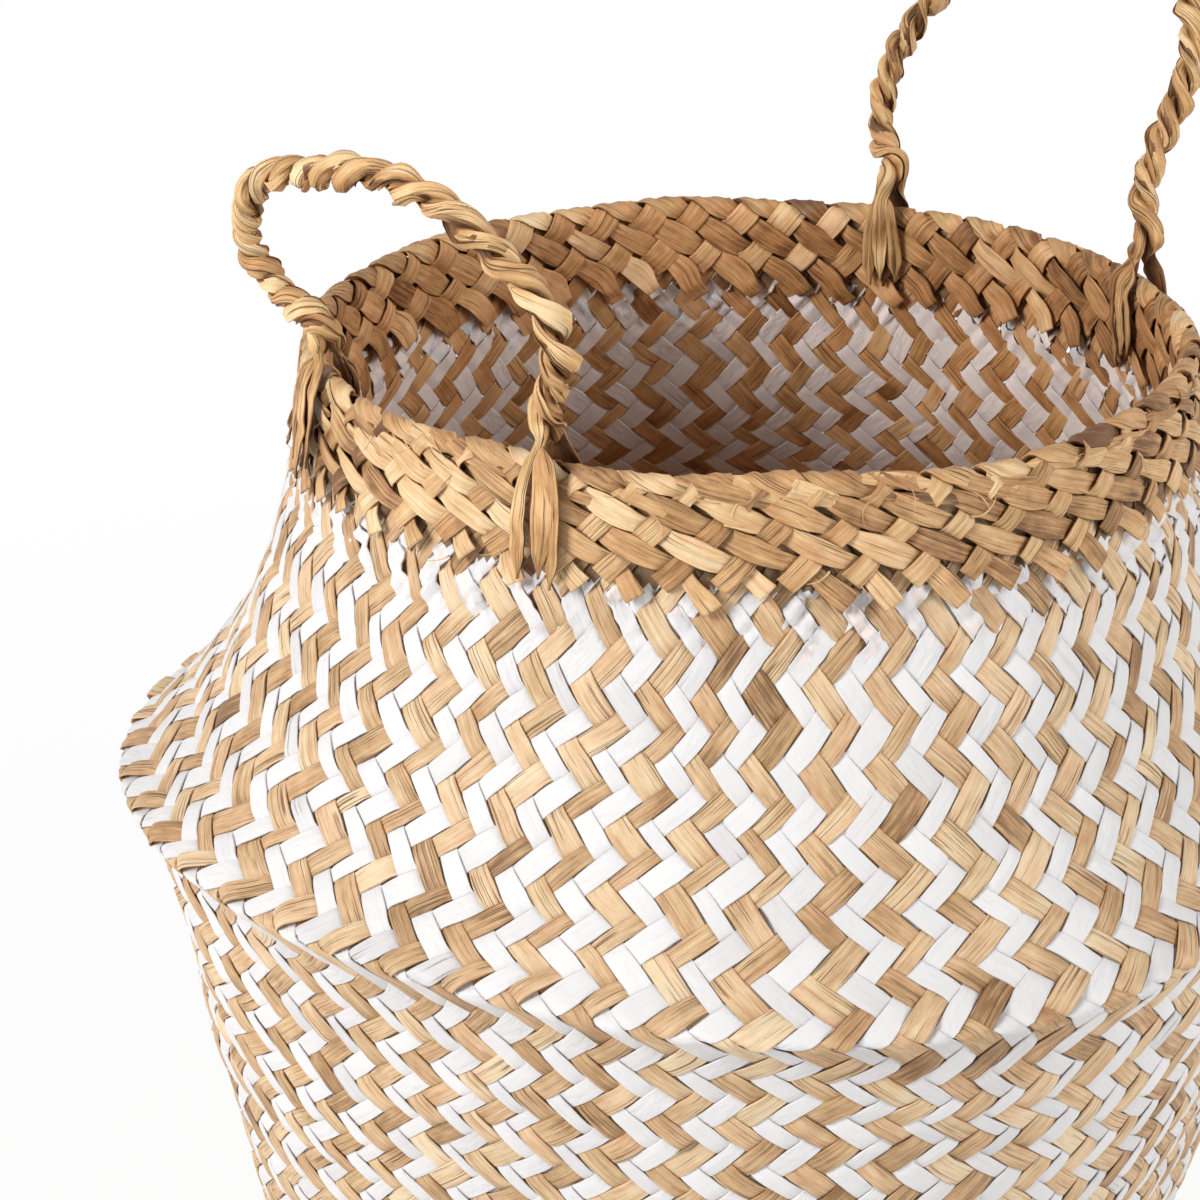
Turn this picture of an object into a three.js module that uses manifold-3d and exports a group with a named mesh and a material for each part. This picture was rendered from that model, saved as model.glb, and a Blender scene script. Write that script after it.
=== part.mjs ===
// A plaited belly basket: a tall bag of diagonal strips pushed down into a fold at its belly,
// with a natural band round its rim and two handles of two-ply rope.
// Millimetres, +Z up. The origin is the middle of the flat underside. The handles stand at -X (left)
// and +X (right), and each has a front foot towards -Y and a back foot towards +Y.
import * as THREE from "three";
import { mergeVertices } from "three/addons/utils/BufferGeometryUtils.js";
import Module from "manifold-3d";

const wasm = await Module();
wasm.setup();

const degrees = THREE.MathUtils.degToRad;

// Driving dimensions of the basket
const RIM_HEIGHT = 290; // floor to the top of the rim's edge
const RIM_RADIUS = 115; // basket's axis to the middle of the rim
const NECK_FLARE = 4; // how much wider than the rim the wall is at the band's lower edge
const BAND_DEPTH = 29; // top of the rim to the band's lower edge
const FOLD_DEPTH = 119; // top of the rim to the fold
const FOLD_RADIUS = 168; // outside of the belly at the fold
const BASE_RADIUS = 127; // outside of the wall just above the turn into the base
const BASE_TURN = 14; // radius of the turn from the wall into the base
const WALL = 2; // two crossing strips
const SWELL = 0.4; // how far each slow wave of the hand-made wall stands out
const BASE_THICKNESS = 2.2;
const BAND_THICKNESS = 1.8;
const EDGE_WIDTH = 6.6; // folded strips along the top of the rim
const EDGE_HEIGHT = 5.2;
const GAP = 0.3; // between pieces that touch

// Driving dimensions of the handles
const LEFT_FOOT_SPACING = 84; // between the two feet of one handle
const RIGHT_FOOT_SPACING = 93;
const HANDLE_LEAN = degrees(18); // outward from upright at rest
const PLY_RADIUS = 2.3;
const PLY_OFFSET = 2.45; // rope's middle to a ply's middle
const LAY_LENGTH = 19; // rope length for one full turn of the plies
const HINGE_RISE = 5.5; // top of the rim to the line that a handle folds about
const KNUCKLE_RADIUS = 6.5; // top of a foot, round that line
const RUNNING_GAP = 0.35; // between a foot and the rope that turns over it
const LEG_WIDTH = 9.6;
const LEG_THICKNESS = 4.1;
const LEG_DEPTH = 31; // top of the rim to the tip of a leg
const SHOULDER_DROP = 5.3; // from the fold line down to where a leg may spread
const CUT_OVERRUN = 20; // how far a cutting solid passes what it cuts
const FACE_HEIGHT = 13; // most that a face of the wall spans down it, so that it follows the slow waves
const LEFT_LOOP_REACH = 61.5; // from between the feet to the middle of the rope where it bulges most
const LEFT_LOOP_HEIGHT = 62.5; // fold line to the middle of the rope at its top
const RIGHT_LOOP_REACH = 57;
const RIGHT_LOOP_HEIGHT = 84;

// Plan of the basket: round at the neck, a soft square from the fold down
const CORNERS = 4;
const CORNER_TURN = degrees(63.5);
const FOLD_CORNER_SHARE = 0.026;
const BASE_CORNER_SHARE = 0.04;

// Slow waves of the hand-made wall, each with its waves round the basket, its waves over the basket's height
// and its start as a share of a wave
const WALL_WAVE_SHARES = [
  [2, 0.7, 0.1],
  [3, -1.3, 0.45],
  [4, 1.8, 0.8],
  [5, -2.3, 0.25],
  [7, 2.9, 0.6],
  [9, 3.7, 0.35],
  [11, -4.6, 0.9],
  [12, 5.2, 0.15],
];

// Outlines as shares of the wall's drop and of its flare, from the top down
const UPPER_WALL_SHARES = [
  [0, 0],
  [0.18, 0.09],
  [0.35, 0.2],
  [0.5, 0.3],
  [0.63, 0.415],
  [0.76, 0.555],
  [0.88, 0.73],
  [0.95, 0.87],
  [1, 1],
];
const LOWER_WALL_SHARES = [
  [0, 0],
  [0.035, 0.13],
  [0.085, 0.25],
  [0.2, 0.33],
  [0.45, 0.48],
  [0.72, 0.73],
  [1, 1],
];
// A rope loop as shares of its reach and its height, from above the front foot over to above the back foot
const LEFT_LOOP_SHARES = [
  [-0.75, 0.21],
  [-0.85, 0.35],
  [-0.88, 0.51],
  [-0.82, 0.67],
  [-0.65, 0.82],
  [-0.45, 0.94],
  [-0.2, 1],
  [0.07, 0.975],
  [0.35, 0.905],
  [0.62, 0.83],
  [0.83, 0.71],
  [0.97, 0.545],
  [1, 0.385],
  [0.93, 0.25],
  [0.81, 0.17],
];
const RIGHT_LOOP_SHARES = [
  [-0.745, 0.17],
  [-0.73, 0.29],
  [-0.78, 0.44],
  [-0.8, 0.61],
  [-0.745, 0.775],
  [-0.58, 0.92],
  [-0.3, 1],
  [0.035, 0.99],
  [0.35, 0.92],
  [0.63, 0.8],
  [0.85, 0.64],
  [0.965, 0.49],
  [1, 0.345],
  [0.99, 0.22],
  [0.92, 0.13],
];
// A leg as shares of its depth, its half width and its half thickness, from the hinge line down
const LEG_SHARES = [
  [0, 0.52, 1.18],
  [0.12, 0.6, 1.1],
  [0.3, 0.9, 0.95],
  [0.55, 1, 1],
  [0.8, 0.85, 0.85],
  [1, 0.4, 0.5],
];

// Where a handle's two feet stand on the rim, and how far round from the handle's middle
function feet(spacing) {
  const y = spacing / 2;
  const x = Math.sqrt(RIM_RADIUS ** 2 - y ** 2);
  return { x, y, turn: Math.atan2(y, x) };
}

const LEFT_LOOP = {
  name: "left",
  side: -1,
  feet: feet(LEFT_FOOT_SPACING),
  reach: LEFT_LOOP_REACH,
  height: LEFT_LOOP_HEIGHT,
  shares: LEFT_LOOP_SHARES,
};
const RIGHT_LOOP = {
  name: "right",
  side: 1,
  feet: feet(RIGHT_FOOT_SPACING),
  reach: RIGHT_LOOP_REACH,
  height: RIGHT_LOOP_HEIGHT,
  shares: RIGHT_LOOP_SHARES,
};

// How finely round things are cut into faces
const RING_SIDES = 64;
const EDGE_ARC_STEPS = 6;
const TURN_STEPS = 4;
const PLY_SIDES = 6;
const STEPS_PER_LAY = 10;
const LEG_SIDES = 8;
const LEG_STEPS = 9;
const KNUCKLE_SIDES = 40;

// Places worked out from the sizes above
const foldHeight = RIM_HEIGHT - FOLD_DEPTH;
const bandFoot = RIM_HEIGHT - BAND_DEPTH;
const layersTop = RIM_HEIGHT - EDGE_HEIGHT - GAP;
const neckRadius = RIM_RADIUS + NECK_FLARE;
const hingeHeight = RIM_HEIGHT + HINGE_RISE;

const material = (color, roughness) => new THREE.MeshStandardMaterial({ color, roughness, metalness: 0 });
const PLAITED_WALL = material(0xe2d4ba, 0.72);
const NATURAL_STRIP = material(0xc9a571, 0.7);
const ROPE = material(0xbf9a64, 0.75);

const basket = new THREE.Group();

function addMesh(name, geometry, look) {
  const mesh = new THREE.Mesh(geometry, look);
  mesh.name = name;
  basket.add(mesh);
}

// Moves each point of a geometry to where the function puts it.
function reshape(geometry, place) {
  const position = geometry.getAttribute("position");
  const point = new THREE.Vector3();
  for (let i = 0; i < position.count; i += 1) {
    point.fromBufferAttribute(position, i);
    place(point);
    position.setXYZ(i, point.x, point.y, point.z);
  }
  geometry.computeVertexNormals();
  return geometry;
}

// How far the plan stands out at its corners at a height, as a share of the radius.
function cornerShare(height) {
  if (height < foldHeight) {
    return THREE.MathUtils.mapLinear(height, 0, foldHeight, BASE_CORNER_SHARE, FOLD_CORNER_SHARE);
  }
  const rise = THREE.MathUtils.clamp((height - foldHeight) / (bandFoot - foldHeight), 0, 1);
  return FOLD_CORNER_SHARE * (1 - rise);
}

// How far the slow waves move the wall out at a place. They fade towards the base and the band.
function handSwell(around, height) {
  const rise = THREE.MathUtils.smoothstep(height, BASE_TURN, 3 * BASE_TURN);
  const fall = 1 - THREE.MathUtils.smoothstep(height, bandFoot - BAND_DEPTH, bandFoot);
  const sum = WALL_WAVE_SHARES.reduce(
    (total, [turns, climbs, start]) =>
      total + Math.cos(turns * around + 2 * Math.PI * ((climbs * height) / RIM_HEIGHT + start)),
    0,
  );
  return SWELL * rise * fall * sum;
}

// A ring with the closed outline as its section: x of the outline is the radius, y the height.
function ring(outline) {
  const closed = [...outline, outline[0]];
  if (THREE.ShapeUtils.area(outline) < 0) closed.reverse();
  const geometry = new THREE.LatheGeometry(closed, RING_SIDES);
  geometry.rotateX(Math.PI / 2);
  return reshape(geometry, (point) => {
    const around = Math.atan2(point.y, point.x);
    const corner = 1 + cornerShare(point.z) * Math.cos(CORNERS * (around - CORNER_TURN));
    const radius = Math.hypot(point.x, point.y) * corner + handSwell(around, point.z);
    point.x = radius * Math.cos(around);
    point.y = radius * Math.sin(around);
  });
}

// The same line with points added where two are further apart than a face may be high.
function filledIn(line) {
  return line.flatMap((point, i) => {
    if (i === 0) return [point];
    const before = line[i - 1];
    const count = Math.ceil(before.distanceTo(point) / FACE_HEIGHT);
    return Array.from({ length: count }, (_, k) => before.clone().lerp(point, (k + 1) / count));
  });
}

// The line set in from an outline that runs downward, with level ends.
function setIn(outer, thickness) {
  return outer.map((point, i) => {
    const before = outer[Math.max(i - 1, 0)];
    const after = outer[Math.min(i + 1, outer.length - 1)];
    const along = after.clone().sub(before).normalize();
    if (i === 0 || i === outer.length - 1) {
      return new THREE.Vector2(point.x + thickness / along.y, point.y);
    }
    return new THREE.Vector2(point.x + thickness * along.y, point.y - thickness * along.x);
  });
}

// Outside of the wall above and below the fold
function upperWallLine() {
  const line = UPPER_WALL_SHARES.map(
    ([drop, flare]) =>
      new THREE.Vector2(
        neckRadius + (FOLD_RADIUS - neckRadius) * flare,
        bandFoot - (bandFoot - foldHeight - GAP / 2) * drop,
      ),
  );
  return [new THREE.Vector2(RIM_RADIUS + WALL / 2, layersTop), ...line];
}

function lowerWallLine() {
  const top = foldHeight - GAP / 2;
  return LOWER_WALL_SHARES.map(
    ([drop, flare]) =>
      new THREE.Vector2(FOLD_RADIUS + (BASE_RADIUS - FOLD_RADIUS) * flare, top + (BASE_TURN - top) * drop),
  );
}

function upperWall() {
  const outer = filledIn(upperWallLine());
  return ring([...outer, ...setIn(outer, WALL).reverse()]);
}

// The turn into the base is a quarter round, outside and inside.
function lowerWall() {
  const outer = filledIn(lowerWallLine());
  const inner = setIn(outer, WALL);
  const middle = BASE_RADIUS - BASE_TURN;
  const turn = (radius) =>
    new THREE.EllipseCurve(middle, BASE_TURN, radius, radius, 0, -Math.PI / 2, true).getPoints(TURN_STEPS);
  return ring([
    ...outer.slice(0, -1),
    ...turn(BASE_TURN),
    ...turn(BASE_TURN - WALL).reverse(),
    ...inner.slice(0, -1).reverse(),
  ]);
}

function basePanel() {
  const reach = BASE_RADIUS - BASE_TURN - GAP;
  return ring([
    new THREE.Vector2(0, 0),
    new THREE.Vector2(reach, 0),
    new THREE.Vector2(reach, BASE_THICKNESS),
    new THREE.Vector2(0, BASE_THICKNESS),
  ]);
}

// A band lies on the wall's outside (side 1) or inside (side -1), from under the edge to its foot.
function bandFaces(side) {
  const [top, foot] = upperWallLine();
  const near = side * (WALL / 2 + GAP) - WALL / 2;
  const far = near + side * BAND_THICKNESS;
  return { top, foot, near, far };
}

function rimBand(side) {
  const { top, foot, near, far } = bandFaces(side);
  return ring([
    new THREE.Vector2(top.x + near, top.y),
    new THREE.Vector2(top.x + far, top.y),
    new THREE.Vector2(foot.x + far, foot.y),
    new THREE.Vector2(foot.x + near, foot.y),
  ]);
}

// Flat where it sits on the layers, round on top
function rimEdge() {
  const half = EDGE_WIDTH / 2;
  const crown = new THREE.EllipseCurve(RIM_RADIUS, RIM_HEIGHT - half, half, half, 0, Math.PI);
  const seat = RIM_HEIGHT - EDGE_HEIGHT;
  return ring([
    new THREE.Vector2(RIM_RADIUS - half, seat),
    new THREE.Vector2(RIM_RADIUS + half, seat),
    ...crown.getPoints(EDGE_ARC_STEPS),
  ]);
}

function solidFrom(geometry) {
  const bare = geometry.clone();
  bare.deleteAttribute("normal");
  bare.deleteAttribute("uv");
  const merged = mergeVertices(bare);
  return new wasm.Manifold(
    new wasm.Mesh({
      numProp: 3,
      vertProperties: merged.getAttribute("position").array,
      triVerts: new Uint32Array(merged.index.array),
    }),
  );
}

function geometryFrom(solid) {
  const { vertProperties, triVerts } = solid.getMesh();
  const geometry = new THREE.BufferGeometry();
  geometry.setAttribute("position", new THREE.BufferAttribute(vertProperties, 3));
  geometry.setIndex(new THREE.BufferAttribute(triVerts, 1));
  geometry.computeVertexNormals();
  return geometry;
}

// A cylinder along the line that a handle folds about
function hingeCylinder(loop, radius) {
  const length = 2 * (loop.feet.y + CUT_OVERRUN);
  const geometry = new THREE.CylinderGeometry(radius, radius, length, KNUCKLE_SIDES);
  geometry.translate(loop.side * loop.feet.x, 0, hingeHeight);
  return solidFrom(geometry);
}

// The space that a leg keeps to: round the fold line, or below the shoulder
function legSpace(loop) {
  const depth = LEG_DEPTH + CUT_OVERRUN;
  const reach = 2 * loop.feet.x + CUT_OVERRUN;
  const below = new THREE.BoxGeometry(reach, reach, depth);
  below.translate(loop.side * loop.feet.x, 0, hingeHeight - SHOULDER_DROP - depth / 2);
  return hingeCylinder(loop, KNUCKLE_RADIUS).add(solidFrom(below));
}

// The outside of the upper wall's top at a height, as an offset from the middle of the rim
function wallOffset(height) {
  const [top, foot] = upperWallLine();
  return THREE.MathUtils.mapLinear(height, foot.y, top.y, foot.x, top.x) - RIM_RADIUS;
}

// How much of its half width and half thickness a leg has at a share of its depth
function legSize(share) {
  const i = Math.max(1, LEG_SHARES.findIndex((row) => row[0] >= share));
  const [low, high] = [LEG_SHARES[i - 1], LEG_SHARES[i]];
  const size = (column) => THREE.MathUtils.mapLinear(share, low[0], high[0], low[column], high[column]);
  return { halfWidth: (size(1) * LEG_WIDTH) / 2, halfThickness: (size(2) * LEG_THICKNESS) / 2 };
}

// One ply's end, flattened down the band's face: side 1 is outside the basket, -1 is inside.
// A unit cylinder is bent along it. It faces the fold line's way at the top and the rim's below.
function leg(loop, end, side) {
  const bundle = new THREE.CylinderGeometry(1, 1, 1, LEG_SIDES, LEG_STEPS);
  const top = hingeHeight + KNUCKLE_RADIUS;
  const tip = RIM_HEIGHT - LEG_DEPTH;
  const depth = hingeHeight - tip;
  const layers = WALL / 2 + BAND_THICKNESS + 2 * GAP;
  reshape(bundle, (point) => {
    const height = tip + (top - tip) * (point.y + 1 / 2);
    const below = Math.max(hingeHeight - height, 0);
    const above = Math.max(height - hingeHeight, 0);
    const { halfWidth, halfThickness } = legSize(below / depth);
    const bandFace = side * (wallOffset(height) - WALL / 2) + layers;
    const face = Math.max(EDGE_WIDTH / 2 + GAP, bandFace) + halfThickness;
    const spread = THREE.MathUtils.smoothstep(below, 0, SHOULDER_DROP + EDGE_WIDTH / 2);
    const outward =
      side * THREE.MathUtils.lerp(PLY_OFFSET, face, spread) +
      Math.tan(HANDLE_LEAN) * above +
      point.z * halfThickness;
    const across = point.x * halfWidth;
    const turn = loop.feet.turn * spread;
    point.set(
      loop.side * (loop.feet.x + Math.cos(turn) * outward - Math.sin(turn) * across),
      end * (loop.feet.y + Math.sin(turn) * outward + Math.cos(turn) * across),
      height,
    );
  });
  if (loop.side * end < 0) bundle.index.array.reverse();
  return geometryFrom(solidFrom(bundle).intersect(legSpace(loop)));
}

// The middle of a loop's rope, from the fold line at one foot over to the fold line at the other
function ropeLine(loop) {
  const lean = new THREE.Vector3(loop.side * Math.sin(HANDLE_LEAN), 0, Math.cos(HANDLE_LEAN));
  const place = (across, up) =>
    new THREE.Vector3(loop.side * loop.feet.x, across, hingeHeight).addScaledVector(lean, up);
  return new THREE.CatmullRomCurve3([
    place(-loop.feet.y, 0),
    place(-loop.feet.y, KNUCKLE_RADIUS),
    ...loop.shares.map(([across, up]) => place(across * loop.reach, up * loop.height)),
    place(loop.feet.y, KNUCKLE_RADIUS),
    place(loop.feet.y, 0),
  ]);
}

// How far the lay has gone at a distance along the rope: none in the straight ends, eased in and out
function layShare(along, length) {
  const straight = KNUCKLE_RADIUS + 2 * PLY_RADIUS;
  const run = length - 2 * straight;
  const x = THREE.MathUtils.clamp((along - straight) / run, 0, 1);
  const ease = LAY_LENGTH / run;
  const start = (share) => share ** 2 / (2 * ease * (1 - ease));
  if (x < ease) return start(x);
  if (x > 1 - ease) return 1 - start(1 - x);
  return (x - ease / 2) / (1 - ease);
}

class Ply extends THREE.Curve {
  constructor(loop, side) {
    super();
    this.line = ropeLine(loop);
    this.length = this.line.getLength();
    this.turns = Math.round(this.length / LAY_LENGTH);
    this.steps = this.turns * STEPS_PER_LAY;
    this.arcLengthDivisions = 4 * this.steps;
    this.line.arcLengthDivisions = this.arcLengthDivisions;
    this.outward = new THREE.Vector3(loop.side * Math.cos(HANDLE_LEAN), 0, -Math.sin(HANDLE_LEAN));
    this.phase = side > 0 ? 0 : Math.PI;
  }

  getPoint(t, target = new THREE.Vector3()) {
    const angle = this.phase + 2 * Math.PI * this.turns * layShare(t * this.length, this.length);
    const beside = this.outward.clone().cross(this.line.getTangentAt(t)).normalize();
    return target
      .copy(this.line.getPointAt(t))
      .addScaledVector(this.outward, PLY_OFFSET * Math.cos(angle))
      .addScaledVector(beside, PLY_OFFSET * Math.sin(angle));
  }
}

// A ply's ends are hollowed to turn over the round tops of the legs.
function ply(loop, side) {
  const path = new Ply(loop, side);
  const corners = new THREE.EllipseCurve(0, 0, PLY_RADIUS, PLY_RADIUS).getPoints(PLY_SIDES).slice(0, -1);
  const geometry = new THREE.ExtrudeGeometry(new THREE.Shape(corners), {
    steps: path.steps,
    extrudePath: path,
  });
  return geometryFrom(solidFrom(geometry).subtract(hingeCylinder(loop, KNUCKLE_RADIUS + RUNNING_GAP)));
}

addMesh("base_panel", basePanel(), NATURAL_STRIP);
addMesh("lower_wall", lowerWall(), PLAITED_WALL);
addMesh("upper_wall", upperWall(), PLAITED_WALL);
addMesh("outer_band", rimBand(1), NATURAL_STRIP);
addMesh("inner_band", rimBand(-1), NATURAL_STRIP);
addMesh("rim_edge", rimEdge(), NATURAL_STRIP);
for (const loop of [LEFT_LOOP, RIGHT_LOOP]) {
  for (const [sideName, side] of [["outer", 1], ["inner", -1]]) {
    addMesh(`${loop.name}_handle_${sideName}_ply`, ply(loop, side), ROPE);
    for (const [endName, end] of [["front", -1], ["back", 1]]) {
      addMesh(`${loop.name}_${endName}_${sideName}_leg`, leg(loop, end, side), ROPE);
    }
  }
}

export default basket;
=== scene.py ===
import bpy
import numpy as np
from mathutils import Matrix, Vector


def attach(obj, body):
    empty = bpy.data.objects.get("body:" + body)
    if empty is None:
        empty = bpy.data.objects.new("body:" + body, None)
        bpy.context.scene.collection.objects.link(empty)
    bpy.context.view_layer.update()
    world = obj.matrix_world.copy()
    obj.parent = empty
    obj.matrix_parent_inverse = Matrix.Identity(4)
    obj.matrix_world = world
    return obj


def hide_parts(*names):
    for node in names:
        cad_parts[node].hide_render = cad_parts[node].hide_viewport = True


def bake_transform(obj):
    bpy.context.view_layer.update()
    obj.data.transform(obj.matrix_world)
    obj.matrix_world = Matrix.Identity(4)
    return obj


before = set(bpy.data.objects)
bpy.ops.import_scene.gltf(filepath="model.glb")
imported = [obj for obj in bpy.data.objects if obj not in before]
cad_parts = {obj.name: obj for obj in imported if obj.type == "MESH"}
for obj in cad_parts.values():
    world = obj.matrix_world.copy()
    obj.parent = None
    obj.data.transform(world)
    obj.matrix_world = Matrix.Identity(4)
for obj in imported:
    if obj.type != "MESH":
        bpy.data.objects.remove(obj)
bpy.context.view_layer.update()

# Lengths are millimetres until a mesh is made. The origin is the middle of the flat underside.
MM = 0.001
WHOLE_TURN = 2 * np.pi

# Sizes of the basket, as in the frame
RIM_HEIGHT = 290.0
RIM_RADIUS = 115.0
LAYERS_TOP = 284.5
BAND_FOOT = 261.0
NECK_RADIUS = 119.0
FOLD_HEIGHT = 171.0
FOLD_RADIUS = 168.0
BASE_RADIUS = 127.0
BASE_TURN = 14.0
WALL = 2.0
CORNER_TURN = np.radians(63.5)
FOLD_CORNER_SHARE = 0.026
BASE_CORNER_SHARE = 0.04
SWELL = 0.4
# Whole turns round the basket, turns over the rim's height and start, of each slow wave
WALL_WAVE_SHARES = [
    [2, 0.7, 0.1],
    [3, -1.3, 0.45],
    [4, 1.8, 0.8],
    [5, -2.3, 0.25],
    [7, 2.9, 0.6],
    [9, 3.7, 0.35],
    [11, -4.6, 0.9],
    [12, 5.2, 0.15],
]
# Shares of the drop and of the change of radius, from the band's foot to the fold and from there to the base
UPPER_WALL_SHARES = np.array(
    [
        [0, 0],
        [0.18, 0.09],
        [0.35, 0.2],
        [0.5, 0.3],
        [0.63, 0.415],
        [0.76, 0.555],
        [0.88, 0.73],
        [0.95, 0.87],
        [1, 1],
    ]
)
LOWER_WALL_SHARES = np.array(
    [[0, 0], [0.035, 0.13], [0.085, 0.25], [0.2, 0.33], [0.45, 0.48], [0.72, 0.73], [1, 1]]
)
OUTLINE_STEP = 0.5

# Wall plait: strips of each slant round the basket
WALL_STRIPS = 112
# Row heights by the distance past the fold: the strips run steep just below it
ROW_HEIGHTS = np.array([[-115, 9.45], [-9, 7.65], [-8, 8.8], [1, 9.2], [2, 12.5], [13, 12], [15, 7.3]])
COLUMN_PHASE = np.radians(-132.5)
COLUMN_DRIFT = np.radians(-3.0)
# Width of the white strips, as a share of the even width, at the neck, at the fold and below it
WHITE_SHARES = {"rising": [0.96, 1.02, 0.88], "falling": [0.92, 0.96, 0.84]}
BELOW_FOLD_ROWS = 4
# A strip goes from under to over within this share of a cell
BEND_SHARE = 0.4
FLOAT_RISE = 0.5
FLOAT_BOW = 0.12
STRIP_THICKNESS = 0.45
STRIP_CROWN = 0.2
# How far the wall's strips run in under the base
WALL_TUCK = 9.0
SAMPLES_PER_CELL = 4
# How far the edges between strips are off by hand, in pitches: usual and most
EDGE_OFFSETS = (0.075, 0.17)
# A strip is a bit wider than its place where it is under, and narrower on top, by a random slack as well.
# Part of that comes back in the middle of a float.
FIT_UNDER = 1.02
FIT_LOSS = 0.085
FIT_SLACK = 0.06
FLOAT_GAIN = 0.06
# Step and size of each slow random line of a strip: its place, its edges, its tilt and its tone
WALL_WANDERS = {
    "place": (2.6, 0.07),
    "nibble": (0.55, 0.02),
    "tilt": (1.0, 0.10),
    "tone": (1.8, 0.16),
}
WALL_TONE = (0.52, 0.12)
WALL_EDGE_SHADE = 0.09
# The natural rising strips stand off the fold's edge by least and most, over a reach in rows about a place
# a bit above it
FOLD_POP = (0.5, 1.6)
POP_ABOVE = 0.2
POP_REACH = 0.42
# The white strips are bare down to here, which a tone far below the least painted one says; the bare leaf is
# coloured dark brown, painted shade in the band's gaps. They are crumpled over a stretch below the band.
BARE_SHADED_END = 21.0
BARE_SHADED_DROP = 3
PAINTED_LEAST = 0.1
CRUMPLE_FADES = {"start": 14.0, "in": 8.0, "end": 31.0, "out": 12.0}

# Base plait
BASE_PITCH = 5.0
BASE_REACH = 23
BASE_MARGIN = 0.6
BASE_MIDDLE = 1.1
BASE_RISE = 0.45
BASE_THICKNESS = 0.42
BASE_STRIP_SHARE = 0.985

# Rim band: a plain plait that wraps over the top of the rim. Slopes are millimetres round the rim for each
# millimetre down the band.
BAND_STRIPS = 51
BAND_RADIUS = 117.0
OUTER_SLOPES = {"falling": 2.3, "rising": -0.98, "tail": 0.9}
INNER_SLOPES = {"falling": 1.65, "rising": -0.82, "tail": 0.75}
OUTER_HALF_WIDTHS = {"falling": 2.85, "rising": 2.75}
INNER_HALF_WIDTHS = {"falling": 3.55, "rising": 3.8}
BAND_SPACE = 1.35
CREST_RISE = 4.6
BAND_REACH = 36.0
BAND_STEP = 0.25
BAND_SIDE_REACH = 40
BAND_THICKNESS = 0.5
BAND_CROWN = 0.3
# How far down outside and up inside each slant ends, and by how much the ends differ
BAND_ENDS = {"rising": ((25.4, 0.9), (-22.5, 1.0)), "falling": ((29.8, 2.4), (-29.5, 2.4))}
# How far from the crest the tails begin to swing, and how far they begin to lift, with the run of that
TAIL_START = 20.0
TAIL_LIFT_START = 22.0
TAIL_LIFT_RUN = 8.0
# The strips are twisted narrow about this far below the crest, each slant by its own share
TWIST_PLACE = 4.6
TWIST_REACH = 2.1
TWIST_SHARES = {"rising": 0.6, "falling": 0.3}
# Shares of a crossing's pitch where a strip changes between over and under, and over which it does
EDGE_SHARES = {"rising": 0.5, "falling": 0.63}
BEND_SHARES = {"rising": 0.28, "falling": 0.26}
# A falling strip's width over a crossing: a share of its own, and one that bulges like a leaf
LEAF_SHARES = (0.84, 0.26)
# Step and size of each slow random line of a band strip
BAND_WANDERS = {"off": (12, 0.5), "pinch": (6, 0.09), "tilt": (8, 0.3), "tone": (14, 0.12)}
BAND_TONE = (0.46, 0.18)
# How band strips differ by hand: the spread of their places, and the least and most of their widths, of
# their twists and of their tails' lift
BAND_PLACE_SPREAD = 0.35
BAND_WIDTH_SHARES = (0.92, 1.06)
TWIST_STRENGTHS = (0.35, 1.0)
TWIST_TILT = 0.9
TAIL_LIFTS = (-0.1, 1.1)
TAIL_SWING = 0.13
TAIL_NARROWING = 0.08
BAND_EDGE_SHADE = 0.28
# How far the rim is off its height by hand, in millimetres, by the azimuth in degrees
RIM_SWAY = np.array(
    [
        [3, 0],
        [32, -1.4],
        [60, -0.2],
        [95, -1.3],
        [127, -1.4],
        [169, -0.7],
        [192, 1.0],
        [206, -0.5],
        [230, 0.9],
        [256, -1.4],
        [273, 0.5],
        [293, 1.4],
        [328, -0.8],
    ]
)
RIM_SWELL_SHARE = 0.3
BAND_RISE = 0.7
# Slivers just below the crest, with least and most of what differs: how far from a sliver's middle it
# ends, its place below the crest, its slope, its half width and how much of its rise it has
SLIVERS = 58
SLIVER_REACHES = (8, 14)
SLIVER_PLACES = (1.8, 7.0)
SLIVER_SLOPES = (0.1, 0.32)
SLIVER_HALF_WIDTHS = (1.1, 2.4)
SLIVER_TIP_HALF_WIDTH = 0.25
SLIVER_THICKNESS = 0.45
SLIVER_CROWN = 0.2
SLIVER_RISE = 1.5
SLIVER_RISE_SHARES = (0.6, 1.0)
SLIVER_DIP = 0.5
SLIVER_BEND = 0.8
SLIVER_TILT = 0.5
SLIVER_TONE = (0.5, 0.2)
# Loose fibres: least and most length, lift and half width, the two headings that they keep near, in
# radians, with the spread of that and of their curl, and the stretches of the band that they stand on
FRAYS = 110
FRAY_LENGTHS = (3, 9)
FRAY_LIFTS = (0.2, 2.2)
FRAY_HALF_WIDTHS = (0.12, 0.3)
FRAY_HEADINGS = (0.48, 2.3)
FRAY_HEADING_SPREAD = 0.25
FRAY_CURL = 0.5
FRAY_STRETCHES = ((1, 6), (24, 31), (5, 24))
FRAY_PLACE_SPREAD = 2
FRAY_FOOT = 0.9
FRAY_THICKNESS = 0.18
FRAY_TONE = (0.65, 0.15)

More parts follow.
